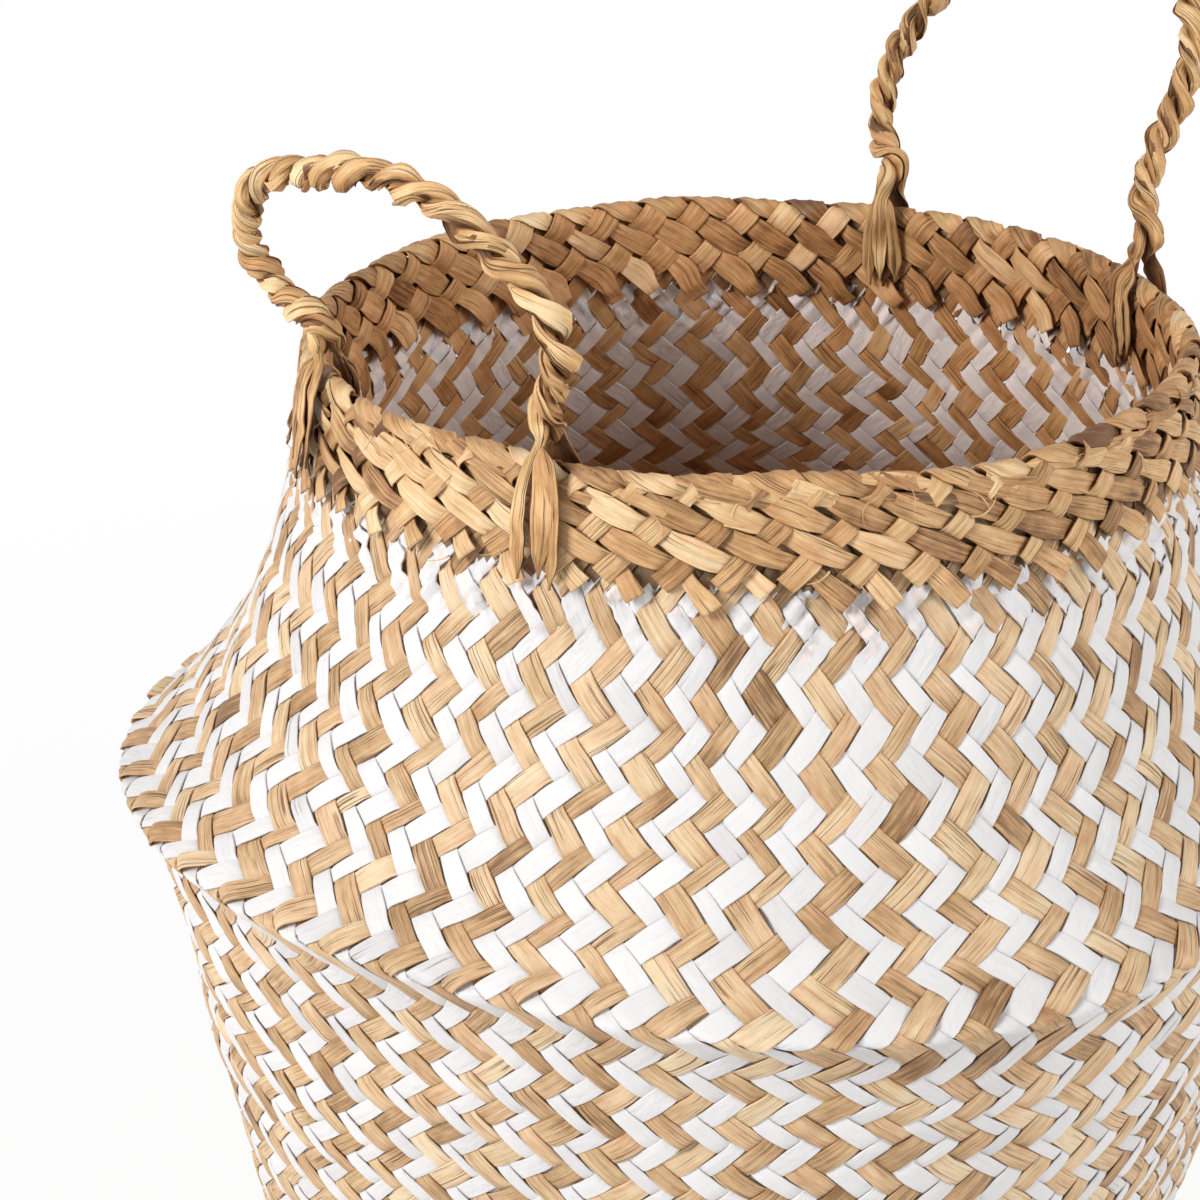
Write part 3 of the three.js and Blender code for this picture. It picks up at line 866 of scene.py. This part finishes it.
def band_slivers(seed):
    """Slim twisted strips nearly along the rim, just below its crest, that dive under at both ends."""
    rng = np.random.default_rng(seed)
    share = np.linspace(-1, 1, 26)
    each = (SLIVERS, 1)
    reach = rng.uniform(*SLIVER_REACHES, each)
    down = rng.uniform(*SLIVER_PLACES, each) + reach * share * rng.uniform(*SLIVER_SLOPES, each)
    place = (np.arange(SLIVERS)[:, None] + rng.uniform(-0.3, 0.3, each)) * WHOLE_TURN * BAND_RADIUS / SLIVERS
    run = place + reach * share + SLIVER_BEND * np.sin(np.pi * share) * rng.normal(0, 1, each)
    half = rng.uniform(*SLIVER_HALF_WIDTHS, each) * (1 - share**2) ** 0.6 + SLIVER_TIP_HALF_WIDTH
    rise = SLIVER_RISE * (1 - share**2) ** 0.5
    out = rise * rng.uniform(*SLIVER_RISE_SHARES, each) - SLIVER_DIP
    tilt = rng.normal(0, SLIVER_TILT, each) * np.cos(np.pi * share * rng.uniform(0.4, 1, each))
    across = half[..., None] * SECTION_ACROSS
    out = out[..., None] + SLIVER_THICKNESS * SECTION_UP + tilt[..., None] * SECTION_ACROSS
    out = out + SLIVER_CROWN * (1 - SECTION_ACROSS**2)
    points = band_points(run, down, across, out)
    tone = rng.normal(*SLIVER_TONE, (SLIVERS, 1, 1))
    return points, grain_of(points, across, seed + 1), tone, 0 * SECTION_UP


def band_frays(seed):
    """Split fibres that stand off the band: short thin lines, straight or slightly curled."""
    rng = np.random.default_rng(seed)
    share = np.linspace(0, 1, 9)
    each = (FRAYS, 1)
    length = rng.uniform(*FRAY_LENGTHS, each)
    heading = rng.choice(FRAY_HEADINGS, each) + rng.normal(0, FRAY_HEADING_SPREAD, each)
    curl = rng.normal(0, FRAY_CURL, each)
    rows = [rng.uniform(*stretch) for stretch in FRAY_STRETCHES]
    down = rng.choice(rows, each) + rng.normal(0, FRAY_PLACE_SPREAD, each)
    run = rng.uniform(0, WHOLE_TURN * BAND_RADIUS, each) + length * share * np.cos(heading + curl * share)
    down = down + length * share * np.sin(heading + curl * share)
    out = FRAY_FOOT + share**1.5 * rng.uniform(*FRAY_LIFTS, each)
    half = rng.uniform(*FRAY_HALF_WIDTHS, each) * (1 - 0.8 * share)
    across = half[..., None] * SECTION_ACROSS
    points = band_points(run, down, across, out[..., None] + FRAY_THICKNESS * SECTION_UP)
    tone = rng.normal(*FRAY_TONE, (FRAYS, 1, 1))
    return points, grain_of(points, across, seed + 1), tone, 0 * SECTION_UP


def build_band(material):
    """The rim band's two slants stand for the outer band, the inner band and the folded edge."""
    layers = {
        "band_rising_strips": band_strips(True, 420),
        "band_falling_strips": band_strips(False, 400),
        "band_slivers": band_slivers(440),
        "band_frays": band_frays(450),
    }
    for name, layer in layers.items():
        piece = strips_mesh(name, *layer, material)
        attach(piece, "basket")
        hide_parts("outer_band", "inner_band", "rim_edge")


# Handles


def through(points, per_span):
    """A smooth curve through the points: each span is a cubic whose end slopes come from the neighbours,
    weighted by the square roots of the distances between points."""
    ghost = np.vstack([2 * points[0] - points[1], points, 2 * points[-1] - points[-2]])
    p0, p1, p2, p3 = ghost[:-3], ghost[1:-2], ghost[2:-1], ghost[3:]
    gaps = np.sqrt(np.linalg.norm(np.diff(ghost, axis=0), axis=1))[:, None]
    d0, d1, d2 = gaps[:-2], gaps[1:-1], gaps[2:]
    m1 = ((p1 - p0) / d0 - (p2 - p0) / (d0 + d1) + (p2 - p1) / d1) * d1
    m2 = ((p2 - p1) / d1 - (p3 - p1) / (d1 + d2) + (p3 - p2) / d2) * d1
    t = (np.arange(per_span) / per_span)[None, :, None]
    curve = (
        p1[:, None] * (2 * t**3 - 3 * t**2 + 1)
        + m1[:, None] * (t**3 - 2 * t**2 + t)
        + p2[:, None] * (3 * t**2 - 2 * t**3)
        + m2[:, None] * (t**3 - t**2)
    )
    return np.vstack([curve.reshape(-1, points.shape[1]), points[-1:]])


def rope_line(loop):
    """Middle of a loop's rope, in the leaning plane: across, and up from the line that it folds about."""
    foot_y = loop["foot_y"]
    over = [[across * loop["reach"], up * loop["height"]] for across, up in loop["shares"]]
    flat = np.array([[-foot_y, 0], [-foot_y, KNUCKLE_RADIUS], *over, [foot_y, KNUCKLE_RADIUS], [foot_y, 0]])
    flat = resampled(through(flat, 24), 0.5)
    side = loop["side"]
    return np.stack(
        [
            side * (loop["foot_x"] + np.sin(HANDLE_LEAN) * flat[:, 1]),
            flat[:, 0],
            HINGE_HEIGHT + np.cos(HANDLE_LEAN) * flat[:, 1],
        ],
        1,
    )


def lay_angle(along, lay):
    """How far the lay has turned, in whole turns from foot to foot: it is tighter towards the back foot."""
    tight = smooth((along - along[-1] + TIGHT_RUN) / TIGHT_FADE)
    rate = (1 - tight) / lay["loose"] + tight / lay["tight"]
    rate = rate * (along > 3) * (along < along[-1] - 3)
    turned = np.r_[0, (rate[1:] * np.diff(along)).cumsum()]
    return WHOLE_TURN * turned / turned[-1] * round(turned[-1])


def leg_line(loop, end, ply):
    """Middle of a ply's end from its tip up the band's face to just below the fold line, with the way out."""
    side = loop["side"]
    height = np.linspace(LEG_TIP, HINGE_HEIGHT - 3, 24)
    wall = np.interp(LAYERS_TOP + 1 - height, outline_along, outline[:, 0]) - RIM_RADIUS
    if ply > 0:
        face = wall + 2 * BAND_SPACE + LEG_LIFT
    else:
        face = np.minimum(-wall + WALL + 2 * BAND_SPACE + LEG_LIFT, LEG_INSIDE_REACH)
    spread = smooth((HINGE_HEIGHT - height) / LEG_SPREAD_RUN)
    outward = ply * (PLY_OFFSET * (1 - spread) + face * spread)
    turn = loop["foot_turn"] * spread
    x = side * (loop["foot_x"] + np.cos(turn) * outward)
    y = end * (loop["foot_y"] + np.sin(turn) * outward)
    line = np.stack([x, y, height], 1)
    away = np.stack([side * np.cos(turn), end * np.sin(turn), 0 * turn], 1) * ply
    return line, away


def ply_frames(loop, ply):
    """Middle line of a ply from leg tip to leg tip, with its outward and sideways ways at each point.

    Over the rope it is a helix: the rope's line plus the ply's offset turned round it by the lay.
    """
    side = loop["side"]
    rope = rope_line(loop)
    along = arc_length(rope)
    length = along[-1]
    tangent = tangents(rope, along)
    lean_out = np.array([side * np.cos(HANDLE_LEAN), 0, -np.sin(HANDLE_LEAN)])
    sway = waves(60 + side + 5 * ply, 5, 0.22, (1, 2), (35, 90))(0, along) * np.sin(np.pi * along / length)
    angle = lay_angle(along, loop["lay"]) + (0 if ply > 0 else np.pi)
    beside = np.cross(np.broadcast_to(lean_out, tangent.shape), tangent)
    swayed = (angle + sway)[:, None]
    line = rope + PLY_OFFSET * (np.cos(swayed) * lean_out + np.sin(swayed) * beside)
    front_line, front_away = leg_line(loop, -1, ply)
    back_line, back_away = leg_line(loop, 1, ply)
    whole = np.vstack([front_line, line[4:-4], back_line[::-1]])
    away = np.vstack([front_away, np.tile(lean_out * ply, (len(line) - 8, 1)), back_away[::-1]])
    angle = np.r_[np.full(len(front_line), angle[0]), angle[4:-4], np.full(len(back_line), angle[-1])]
    measure = arc_length(whole)
    marks = np.linspace(0, measure[-1], int(measure[-1] / 0.9))
    whole = eased(read_along(marks, measure, whole), 6)
    away = eased(read_along(marks, measure, away), 12)
    angle = np.interp(marks, measure, angle)
    tangent = tangents(whole, marks)
    away -= (away * tangent).sum(1, keepdims=True) * tangent
    away /= np.linalg.norm(away, axis=1, keepdims=True)
    sideways = np.cross(tangent, away)
    return whole, away, sideways, angle, marks


def ply_blades(loop, ply, seed):
    """A ply as overlapping leaf blades round a core. On the rope they curl round the ply's middle line like
    shingles and turn with about half of the lay. On the legs they fan out flat and end unevenly."""
    middle, away, sideways, angle, marks = ply_frames(loop, ply)
    rng = np.random.default_rng(seed)
    total = marks[-1]
    blades = BLADES_PER_PLY + 1
    trim = rng.uniform(*BLADE_TRIM, (2, blades, 1))
    trim[:, -1] = CORE_TRIM
    at = trim[0] + (total - trim[0] - trim[1]) * np.linspace(0, 1, len(marks))
    middle, away, sideways = (read_along(at, marks, values) for values in (middle, away, sideways))
    height = middle[..., 2]
    front = at < total / 2
    blend = smooth((height - (HINGE_HEIGHT - BLEND_DROP)) / BLEND_RUN)[..., None]
    depth = np.clip((HINGE_HEIGHT - height) / (HINGE_HEIGHT - LEG_TIP), 0, 1)
    leg_half = np.interp(depth, LEG_SHARES[:, 0], LEG_SHARES[:, 1]) * LEG_WIDTH / 2
    number = np.arange(blades)[:, None]
    start = WHOLE_TURN * number / BLADES_PER_PLY + rng.uniform(-START_SPREAD, START_SPREAD, (blades, 1))
    lay = (np.interp(at, marks, angle) - angle[0])[..., None]

    def drift(place, kind):
        """The slow random line of this kind, for each blade."""
        return wander(seed + place, blades, total + 5, *ROPE_WANDERS[kind])(number, at)

    lift = drift(2, "lift")
    bulge = BULGE_MIDDLE + wander(seed + 4, 1, total + 5, *ROPE_WANDERS["bulge"])(0 * number, at)
    edge = EDGE_LIFT + drift(9, "edge")
    theta = start - LAY_SHARE * lay[..., 0] + drift(1, "turn")
    swing = theta[..., None] + (BLADE_REACH * (1 + drift(3, "reach")))[..., None] * SECTION_ACROSS
    rope_radius = (PLY_RADIUS * bulge + lift)[..., None] + edge[..., None] * SECTION_ACROSS
    rope_radius = rope_radius + BLADE_THICKNESSES["rope"] * SECTION_UP
    rope_out = rope_radius * np.cos(swing)
    rope_side = rope_radius * np.sin(swing)
    bows = np.where(front, rng.normal(0, 1, (blades, 1)), rng.normal(0, 1, (blades, 1)))
    bows = bows + LEG_BOW_OUT * np.sign(LEG_PLACES)
    place = LEG_PLACES * leg_half + bows * np.sin(np.pi * depth) * LEG_BOW
    place = place + depth * drift(10, "place")
    half = LEG_HALF_WIDTHS * np.interp(depth, LEG_WIDTH_SHARES[:, 0], LEG_WIDTH_SHARES[:, 1])
    half = half * (1 + drift(5, "width"))
    from_tip = np.minimum(at - trim[0], total - trim[1] - at)
    half = half * (TIP_SHARE + (1 - TIP_SHARE) * smooth(from_tip / TIP_RUN))
    leg_side = place[..., None] + half[..., None] * SECTION_ACROSS
    leg_out = (LEG_STACKS + LEG_LIFT_SHARE * lift)[..., None] + LEG_CROWN * (1 - SECTION_ACROSS**2)
    leg_out = leg_out + BLADE_THICKNESSES["leg"] * SECTION_UP + drift(11, "lean")[..., None] * SECTION_ACROSS
    core = number[..., None] == BLADES_PER_PLY
    core_angle = WHOLE_TURN * np.arange(8) / 8
    core_radius = (PLY_RADIUS - CORE_DEPTH) * bulge[..., None]
    rope_out = np.where(core, core_radius * np.cos(core_angle), rope_out)
    rope_side = np.where(core, core_radius * np.sin(core_angle), rope_side)
    out = leg_out * (1 - blend) + rope_out * blend
    side = leg_side * (1 - blend) + rope_side * blend
    points = middle[:, :, None] + out[..., None] * away[:, :, None] + side[..., None] * sideways[:, :, None]
    grain = grain_of(points, SECTION_ACROSS * GRAIN_HALF_WIDTH, seed + 6)
    tone = rng.normal(*ROPE_TONE, blades)[:, None] + drift(7, "tone")
    # The core is dark as painted shade in the gaps between the blades
    tone[-1] = CORE_SHADE_TONE
    # Painted shade: legs are darker than the rope, the inner ones inside the basket most, and so are the
    # blades' edges and what turns to the rope's middle, between the plies
    facing = (out * np.cos(lay) - side * np.sin(lay)) / np.hypot(out, side)
    tone = tone[..., None] - (0.2 - 0.05 * ply) * (1 - blend) - (1.0 - 0.4 * blend) * EDGE_SHADE
    tone = tone - 0.6 * blend * smooth((0.2 - facing) / 0.9)
    return points, grain, tone, 0 * SECTION_UP


def build_handles(material):
    """Each ply is one piece, from its front leg over the loop to its back leg."""
    for loop in (LEFT_LOOP, RIGHT_LOOP):
        name, side = loop["name"], loop["side"]
        for ply, where in ((1, "outer"), (-1, "inner")):
            blades = ply_blades(loop, ply, loop["seed"] + 20 * (ply > 0))
            piece = strips_mesh(f"{name}_rope_{where}_ply", *blades, material, corners_at=range(8))
            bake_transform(piece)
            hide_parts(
                f"{name}_handle_{where}_ply",
                f"{name}_front_{where}_leg",
                f"{name}_back_{where}_leg",
            )


# Materials


def add_node(tree, kind, inputs=None, **settings):
    """A shader node with its settings, and its inputs set from numbers, colours or other nodes' outputs."""
    node = tree.nodes.new(kind)
    for key, value in settings.items():
        setattr(node, key, value)
    for key, value in (inputs or {}).items():
        if isinstance(value, bpy.types.NodeSocket):
            tree.links.new(value, node.inputs[key])
        else:
            node.inputs[key].default_value = value
    return node


def maths(tree, operation, *values):
    """The result of a math node on two or three values."""
    return add_node(tree, "ShaderNodeMath", dict(enumerate(values)), operation=operation).outputs[0]


def vector_maths(tree, operation, *values):
    """The result of a vector math node on two vectors."""
    return add_node(tree, "ShaderNodeVectorMath", dict(enumerate(values)), operation=operation).outputs[0]


def streaks(tree, grain, across, along, depth, detail=3.0, rough=0.55):
    """Noise stretched along the strip: across and along are the sizes of its spots in millimetres."""
    scaled = vector_maths(tree, "MULTIPLY", grain, (1 / across, 1 / along, 0))
    moved = vector_maths(tree, "ADD", scaled, (0, 0, depth))
    inputs = {"Vector": moved, "Scale": 1.0, "Detail": detail, "Roughness": rough}
    return add_node(tree, "ShaderNodeTexNoise", inputs).outputs["Fac"]


def band_of(tree, value, low, high):
    """0 below low, 1 above high and a straight ramp between."""
    ramp = {"Value": value, "From Min": low, "From Max": high}
    return add_node(tree, "ShaderNodeMapRange", ramp).outputs[0]


# Layers of noise on dried leaf and on paint: the size of the spots across and along the strip in
# millimetres, a depth of each one's own, and the detail and roughness where they aren't the usual ones
LAYERS = {
    "fibre": (0.15, 7.0, 1.0, 3.0, 0.65),
    "streak": (0.9, 34.0, 4.0, 2.0),
    "blotch": (3.5, 7.0, 8.0),
    "split": (0.3, 45.0, 12.0, 1.0, 0.5),
    "split patch": (2.2, 16.0, 17.0, 1.0),
    "rosy": (7.0, 40.0, 40.0, 1.0),
    "stain": (2.2, 6.0, 31.0, 2.0),
    "crease": (2.0, 5.0, 23.0, 2.0),
}
# Where the noise of a layer begins to count and where it counts in full
FROM_TO = {"split": (0.63, 0.70), "split patch": (0.47, 0.56), "rosy": (0.42, 0.62), "stain": (0.66, 0.8)}
RELIEF_SHARES = {"fibre": 0.4, "streak": 0.5, "crack": 0.6, "leaf under paint": 0.15}
ROSY_SHARE = 0.7
ROSY_TINT = (1.03, 0.93, 0.93)
CRACK_SHARES = {"leaf": 0.85, "paint": 0.12}
STAIN_SHARE = 0.3
STAIN_COLOUR = (0.72, 0.6, 0.45, 1)
PAINT_CRACK_COLOUR = (0.45, 0.38, 0.33, 1)
# Painted warm bounce light and shade on the paint's faces inside the basket
PAINT_BOUNCE_TINT = (1.14, 1.03, 0.97)
PAINT_RELIEF = 0.42


def leaf_fibres():
    """A group for dried leaf: fine fibres, broad streaks, blotches and dark cracks, all along the strip."""
    group = bpy.data.node_groups.new("leaf fibres", "ShaderNodeTree")
    group.interface.new_socket("Grain", in_out="INPUT", socket_type="NodeSocketVector")
    group.interface.new_socket("Splits", in_out="INPUT", socket_type="NodeSocketFloat")
    for name in ("Fibre", "Streak", "Blotch", "Crack", "Height"):
        group.interface.new_socket(name, in_out="OUTPUT", socket_type="NodeSocketFloat")
    entry = add_node(group, "NodeGroupInput")
    grain = entry.outputs["Grain"]
    fibre, streak, blotch = (streaks(group, grain, *LAYERS[name]) for name in ("fibre", "streak", "blotch"))
    line = maths(group, "ADD", streaks(group, grain, *LAYERS["split"]), entry.outputs["Splits"])
    thin = band_of(group, line, *FROM_TO["split"])
    place = maths(group, "ADD", streaks(group, grain, *LAYERS["split patch"]), entry.outputs["Splits"])
    patch = band_of(group, place, *FROM_TO["split patch"])
    crack = maths(group, "MULTIPLY", thin, patch)
    fine = maths(group, "MULTIPLY", fibre, RELIEF_SHARES["fibre"])
    broad = maths(group, "MULTIPLY", streak, RELIEF_SHARES["streak"])
    height = maths(group, "ADD", fine, broad)
    height = maths(group, "SUBTRACT", height, maths(group, "MULTIPLY", crack, RELIEF_SHARES["crack"]))
    results = {"Fibre": fibre, "Streak": streak, "Blotch": blotch, "Crack": crack, "Height": height}
    add_node(group, "NodeGroupOutput", results)
    return group


def shade_ramp(tree, value, stops):
    """A colour ramp from a list of positions and colours."""
    ramp = add_node(tree, "ShaderNodeValToRGB", {"Fac": value})
    entries = ramp.color_ramp.elements
    while len(entries) < len(stops):
        entries.new(0.5)
    for entry, (position, colour) in zip(entries, stops):
        entry.position = position
        entry.color = (*colour, 1)
    return ramp.outputs["Color"]


def mix_colour(tree, share, first, second, blend="MIX"):
    """Two colours mixed by a share."""
    node = add_node(tree, "ShaderNodeMix", data_type="RGBA", blend_type=blend)
    for socket, value in ((node.inputs[0], share), (node.inputs[6], first), (node.inputs[7], second)):
        if isinstance(value, bpy.types.NodeSocket):
            tree.links.new(value, socket)
        else:
            socket.default_value = value
    return node.outputs[2]


def tinted(tree, share, colour, tint):
    """The colour, and its product with a tint by the share."""
    return mix_colour(tree, share, colour, mix_colour(tree, 1.0, colour, (*tint, 1), "MULTIPLY"))


def inside_bounce_tinted(tree, colour, tint):
    """The colour as it is outside, and times a warm tint on the faces inside the basket: painted warm bounce
    light and shade.
    """
    inner = add_node(tree, "ShaderNodeAttribute", attribute_name="inner").outputs["Fac"]
    return tinted(tree, inner, colour, tint)


def empty_tree(holder):
    """The cleared node tree of a new material or world."""
    holder.use_nodes = True
    holder.node_tree.nodes.clear()
    return holder.node_tree


def leaf_tree(name, fibres, splits):
    """A new material with the strip's grain, its tone and the leaf group's outputs, to colour."""
    material = bpy.data.materials.new(name)
    tree = empty_tree(material)
    grain = add_node(tree, "ShaderNodeUVMap", uv_map="grain").outputs["UV"]
    tone = add_node(tree, "ShaderNodeAttribute", attribute_name="tone").outputs["Fac"]
    leaf = add_node(tree, "ShaderNodeGroup", node_tree=fibres)
    leaf.inputs["Splits"].default_value = splits
    tree.links.new(grain, leaf.inputs["Grain"])
    return material, tree, grain, tone, leaf.outputs


def varied(tree, tone, outputs, shares):
    """The tone plus shares of the leaf group's outputs, each about its middle of a half."""
    for output, share in shares.items():
        part = maths(tree, "MULTIPLY", maths(tree, "SUBTRACT", outputs[output], 0.5), share)
        tone = maths(tree, "ADD", tone, part)
    return tone


def finish_surface(tree, colour, roughness, height, depth, specular):
    """The material's shader, with its relief in millimetres, and the output."""
    relief = add_node(tree, "ShaderNodeBump", {"Height": height, "Strength": 1.0, "Distance": depth * MM})
    inputs = {"Base Color": colour, "Roughness": roughness, "Normal": relief.outputs[0]}
    inputs["Specular IOR Level"] = specular
    shader = add_node(tree, "ShaderNodeBsdfPrincipled", inputs)
    add_node(tree, "ShaderNodeOutputMaterial", {0: shader.outputs[0]})


def leaf_material(name, fibres, stops, crack_colour, bounce_tint, depth, splits):
    """Dried leaf: the strip's tone plus streaks, fibres and blotches picks the colour. Cracks are dark. Faces
    inside the basket get a painted warm bounce light and shade.
    """
    material, tree, grain, tone, leaf = leaf_tree(name, fibres, splits)
    colour = shade_ramp(tree, varied(tree, tone, leaf, {"Streak": 0.8, "Fibre": 1.0, "Blotch": 0.7}), stops)
    rosy = band_of(tree, streaks(tree, grain, *LAYERS["rosy"]), *FROM_TO["rosy"])
    colour = tinted(tree, maths(tree, "MULTIPLY", rosy, ROSY_SHARE), colour, ROSY_TINT)
    cracked = maths(tree, "MULTIPLY", leaf["Crack"], CRACK_SHARES["leaf"])
    colour = mix_colour(tree, cracked, colour, (*crack_colour, 1))
    colour = inside_bounce_tinted(tree, colour, bounce_tint)
    dull = add_node(tree, "ShaderNodeMapRange", {"Value": leaf["Fibre"], "To Min": 0.4, "To Max": 0.62})
    finish_surface(tree, colour, dull.outputs[0], leaf["Height"], depth, specular=0.4)
    return material


def painted_material(fibres):
    """White paint on leaf: faint streaks, soft creases and a few stains. It is bare at the ramp's foot,
    coloured dark as painted shade under the band.
    """
    material, tree, grain, tone, leaf = leaf_tree("white painted strip", fibres, 0.0)
    paint = [
        # The foot is bare leaf under the band, dark brown as painted shade
        (0.0, (0.20, 0.12, 0.06)),
        (0.05, (0.64, 0.622, 0.618)),
        (0.35, (0.72, 0.703, 0.70)),
        (1.0, (0.785, 0.77, 0.765)),
    ]
    colour = shade_ramp(tree, varied(tree, tone, leaf, {"Streak": 0.5}), paint)
    stain = band_of(tree, streaks(tree, grain, *LAYERS["stain"]), *FROM_TO["stain"])
    colour = mix_colour(tree, maths(tree, "MULTIPLY", stain, STAIN_SHARE), colour, STAIN_COLOUR)
    cracked = maths(tree, "MULTIPLY", leaf["Crack"], CRACK_SHARES["paint"])
    colour = mix_colour(tree, cracked, colour, PAINT_CRACK_COLOUR)
    colour = inside_bounce_tinted(tree, colour, PAINT_BOUNCE_TINT)
    crease = streaks(tree, grain, *LAYERS["crease"])
    leaf_height = maths(tree, "MULTIPLY", leaf["Height"], RELIEF_SHARES["leaf under paint"])
    height = maths(tree, "ADD", crease, leaf_height)
    finish_surface(tree, colour, 0.5, height, PAINT_RELIEF, specular=0.35)
    return material


def make_materials():
    """The record's four finishes."""
    fibres = leaf_fibres()
    straw = [
        (0.0, (0.24, 0.125, 0.05)),
        (0.22, (0.44, 0.265, 0.12)),
        (0.45, (0.60, 0.39, 0.205)),
        (0.7, (0.73, 0.53, 0.315)),
        (1.0, (0.82, 0.665, 0.44)),
    ]
    tan = [
        (0.0, (0.15, 0.066, 0.022)),
        (0.22, (0.385, 0.203, 0.079)),
        (0.48, (0.59, 0.347, 0.152)),
        (0.72, (0.735, 0.49, 0.247)),
        (1.0, (0.87, 0.675, 0.415)),
    ]
    golden = [
        (0.0, (0.15, 0.064, 0.02)),
        (0.22, (0.41, 0.205, 0.073)),
        (0.48, (0.625, 0.362, 0.148)),
        (0.72, (0.785, 0.515, 0.24)),
        (1.0, (0.9, 0.69, 0.4)),
    ]
    # Painted warm bounce light and shade on faces inside the basket, for natural strips and rope; the rim
    # strips get their own below
    warm = (0.98, 0.77, 0.58)
    return {
        "white_strips": painted_material(fibres),
        "natural_strips": leaf_material(
            "natural strip", fibres, straw, (0.17, 0.08, 0.035), warm, depth=0.35, splits=0.035
        ),
        "rim_strips": leaf_material(
            "rim strip", fibres, tan, (0.11, 0.05, 0.02), (1.06, 0.94, 0.86), depth=0.4, splits=0.02
        ),
        "rope": leaf_material(
            "rope blade", fibres, golden, (0.10, 0.045, 0.018), warm, depth=0.5, splits=0.058
        ),
    }


# Camera and studio, in metres

CAMERA_LENS = 92.25
CAMERA_PLACE = (-0.5505, -0.5428, 0.5473)
CAMERA_HEADING = np.radians(47.5)
CAMERA_PITCH = np.radians(23.69)
LAMP_TARGET = (0, 0, 0.2)
WHITE = (1, 1, 1, 1)
WORLD_STRENGTH = 0.25
FLOOR_COLOUR = (0.9, 0.9, 0.9, 1)
FLOOR_REACH = 4
FLOOR_DROP = 0.0004
# Round the basket this share of the floor shows light and shadow, and none of it past the room's far end
SHADOW_SHARE = 0.08
SHADOW_ROOM = (0.2, 0.7)


def looking(way):
    """The turn of a camera or lamp that looks along the way, upright."""
    return way.to_track_quat("-Z", "Y").to_euler()


def add_camera():
    """The photograph's view: from above the front left, pitched down, with a long lens."""
    data = bpy.data.cameras.new("camera")
    data.sensor_width = 36
    data.lens = CAMERA_LENS
    data.clip_end = 20
    camera = link_to_scene(bpy.data.objects.new("camera", data))
    camera.location = CAMERA_PLACE
    level = np.cos(CAMERA_PITCH)
    ahead = (np.cos(CAMERA_HEADING) * level, np.sin(CAMERA_HEADING) * level, -np.sin(CAMERA_PITCH))
    camera.rotation_euler = looking(Vector(ahead))
    bpy.context.scene.camera = camera


def add_lamp(name, place, size, power):
    """A square soft lamp that faces the middle of the basket."""
    data = bpy.data.lights.new(name, "AREA")
    data.shape = "SQUARE"
    data.size = size
    data.energy = power
    lamp = link_to_scene(bpy.data.objects.new(name, data))
    lamp.location = place
    lamp.rotation_euler = looking(Vector(LAMP_TARGET) - Vector(place))


def seen_directly(tree):
    """1 for what the camera sees directly, in a reflection or through glass."""
    path = add_node(tree, "ShaderNodeLightPath")
    share = maths(tree, "MAXIMUM", path.outputs["Is Camera Ray"], path.outputs["Is Glossy Ray"])
    return maths(tree, "MAXIMUM", share, path.outputs["Is Transmission Ray"])


def mix_to_output(tree, kind, share, first, second):
    """Two shader nodes mixed by a share, into the tree's output."""
    both = add_node(tree, "ShaderNodeMixShader", {0: share, 1: first.outputs[0], 2: second.outputs[0]})
    add_node(tree, kind, {0: both.outputs[0]})


def add_floor():
    """A pale floor that keeps the shadow round the basket and turns white away from it."""
    corners = [(-FLOOR_REACH, -FLOOR_REACH, 0), (FLOOR_REACH, -FLOOR_REACH, 0)]
    corners += [(FLOOR_REACH, FLOOR_REACH, 0), (-FLOOR_REACH, FLOOR_REACH, 0)]
    mesh = bpy.data.meshes.new("floor")
    mesh.from_pydata(corners, [], [(0, 1, 2, 3)])
    floor = link_to_scene(bpy.data.objects.new("floor", mesh))
    floor.location.z = -FLOOR_DROP
    material = bpy.data.materials.new("pale floor")
    mesh.materials.append(material)
    tree = empty_tree(material)
    matt = add_node(tree, "ShaderNodeBsdfDiffuse", {"Color": FLOOR_COLOUR})
    bright = add_node(tree, "ShaderNodeEmission", {"Color": WHITE, "Strength": 1.0})
    place = add_node(tree, "ShaderNodeTexCoord").outputs["Object"]
    distance = add_node(tree, "ShaderNodeVectorMath", {0: place}, operation="LENGTH").outputs["Value"]
    away = band_of(tree, distance, *SHADOW_ROOM)
    white_share = maths(tree, "MULTIPLY_ADD", away, SHADOW_SHARE, 1 - SHADOW_SHARE)
    share = maths(tree, "MULTIPLY", seen_directly(tree), white_share)
    mix_to_output(tree, "ShaderNodeOutputMaterial", share, matt, bright)


def add_world():
    """Soft light from all round, and white where it is seen directly."""
    world = bpy.data.worlds.new("studio")
    bpy.context.scene.world = world
    tree = empty_tree(world)
    soft = add_node(tree, "ShaderNodeBackground", {"Color": WHITE, "Strength": WORLD_STRENGTH})
    white = add_node(tree, "ShaderNodeBackground", {"Color": WHITE, "Strength": 1.0})
    mix_to_output(tree, "ShaderNodeOutputWorld", seen_directly(tree), soft, white)


add_camera()
add_floor()
add_world()
add_lamp("key lamp", (-1.95, 0.35, 1.2), size=0.9, power=43)
add_lamp("fill lamp", (0.7, -1.9, 1.2), size=1.2, power=29)
bpy.context.scene.view_settings.view_transform = "Standard"
finishes = make_materials()
build_walls(finishes)
build_base(finishes["natural_strips"])
build_band(finishes["rim_strips"])
build_handles(finishes["rope"])
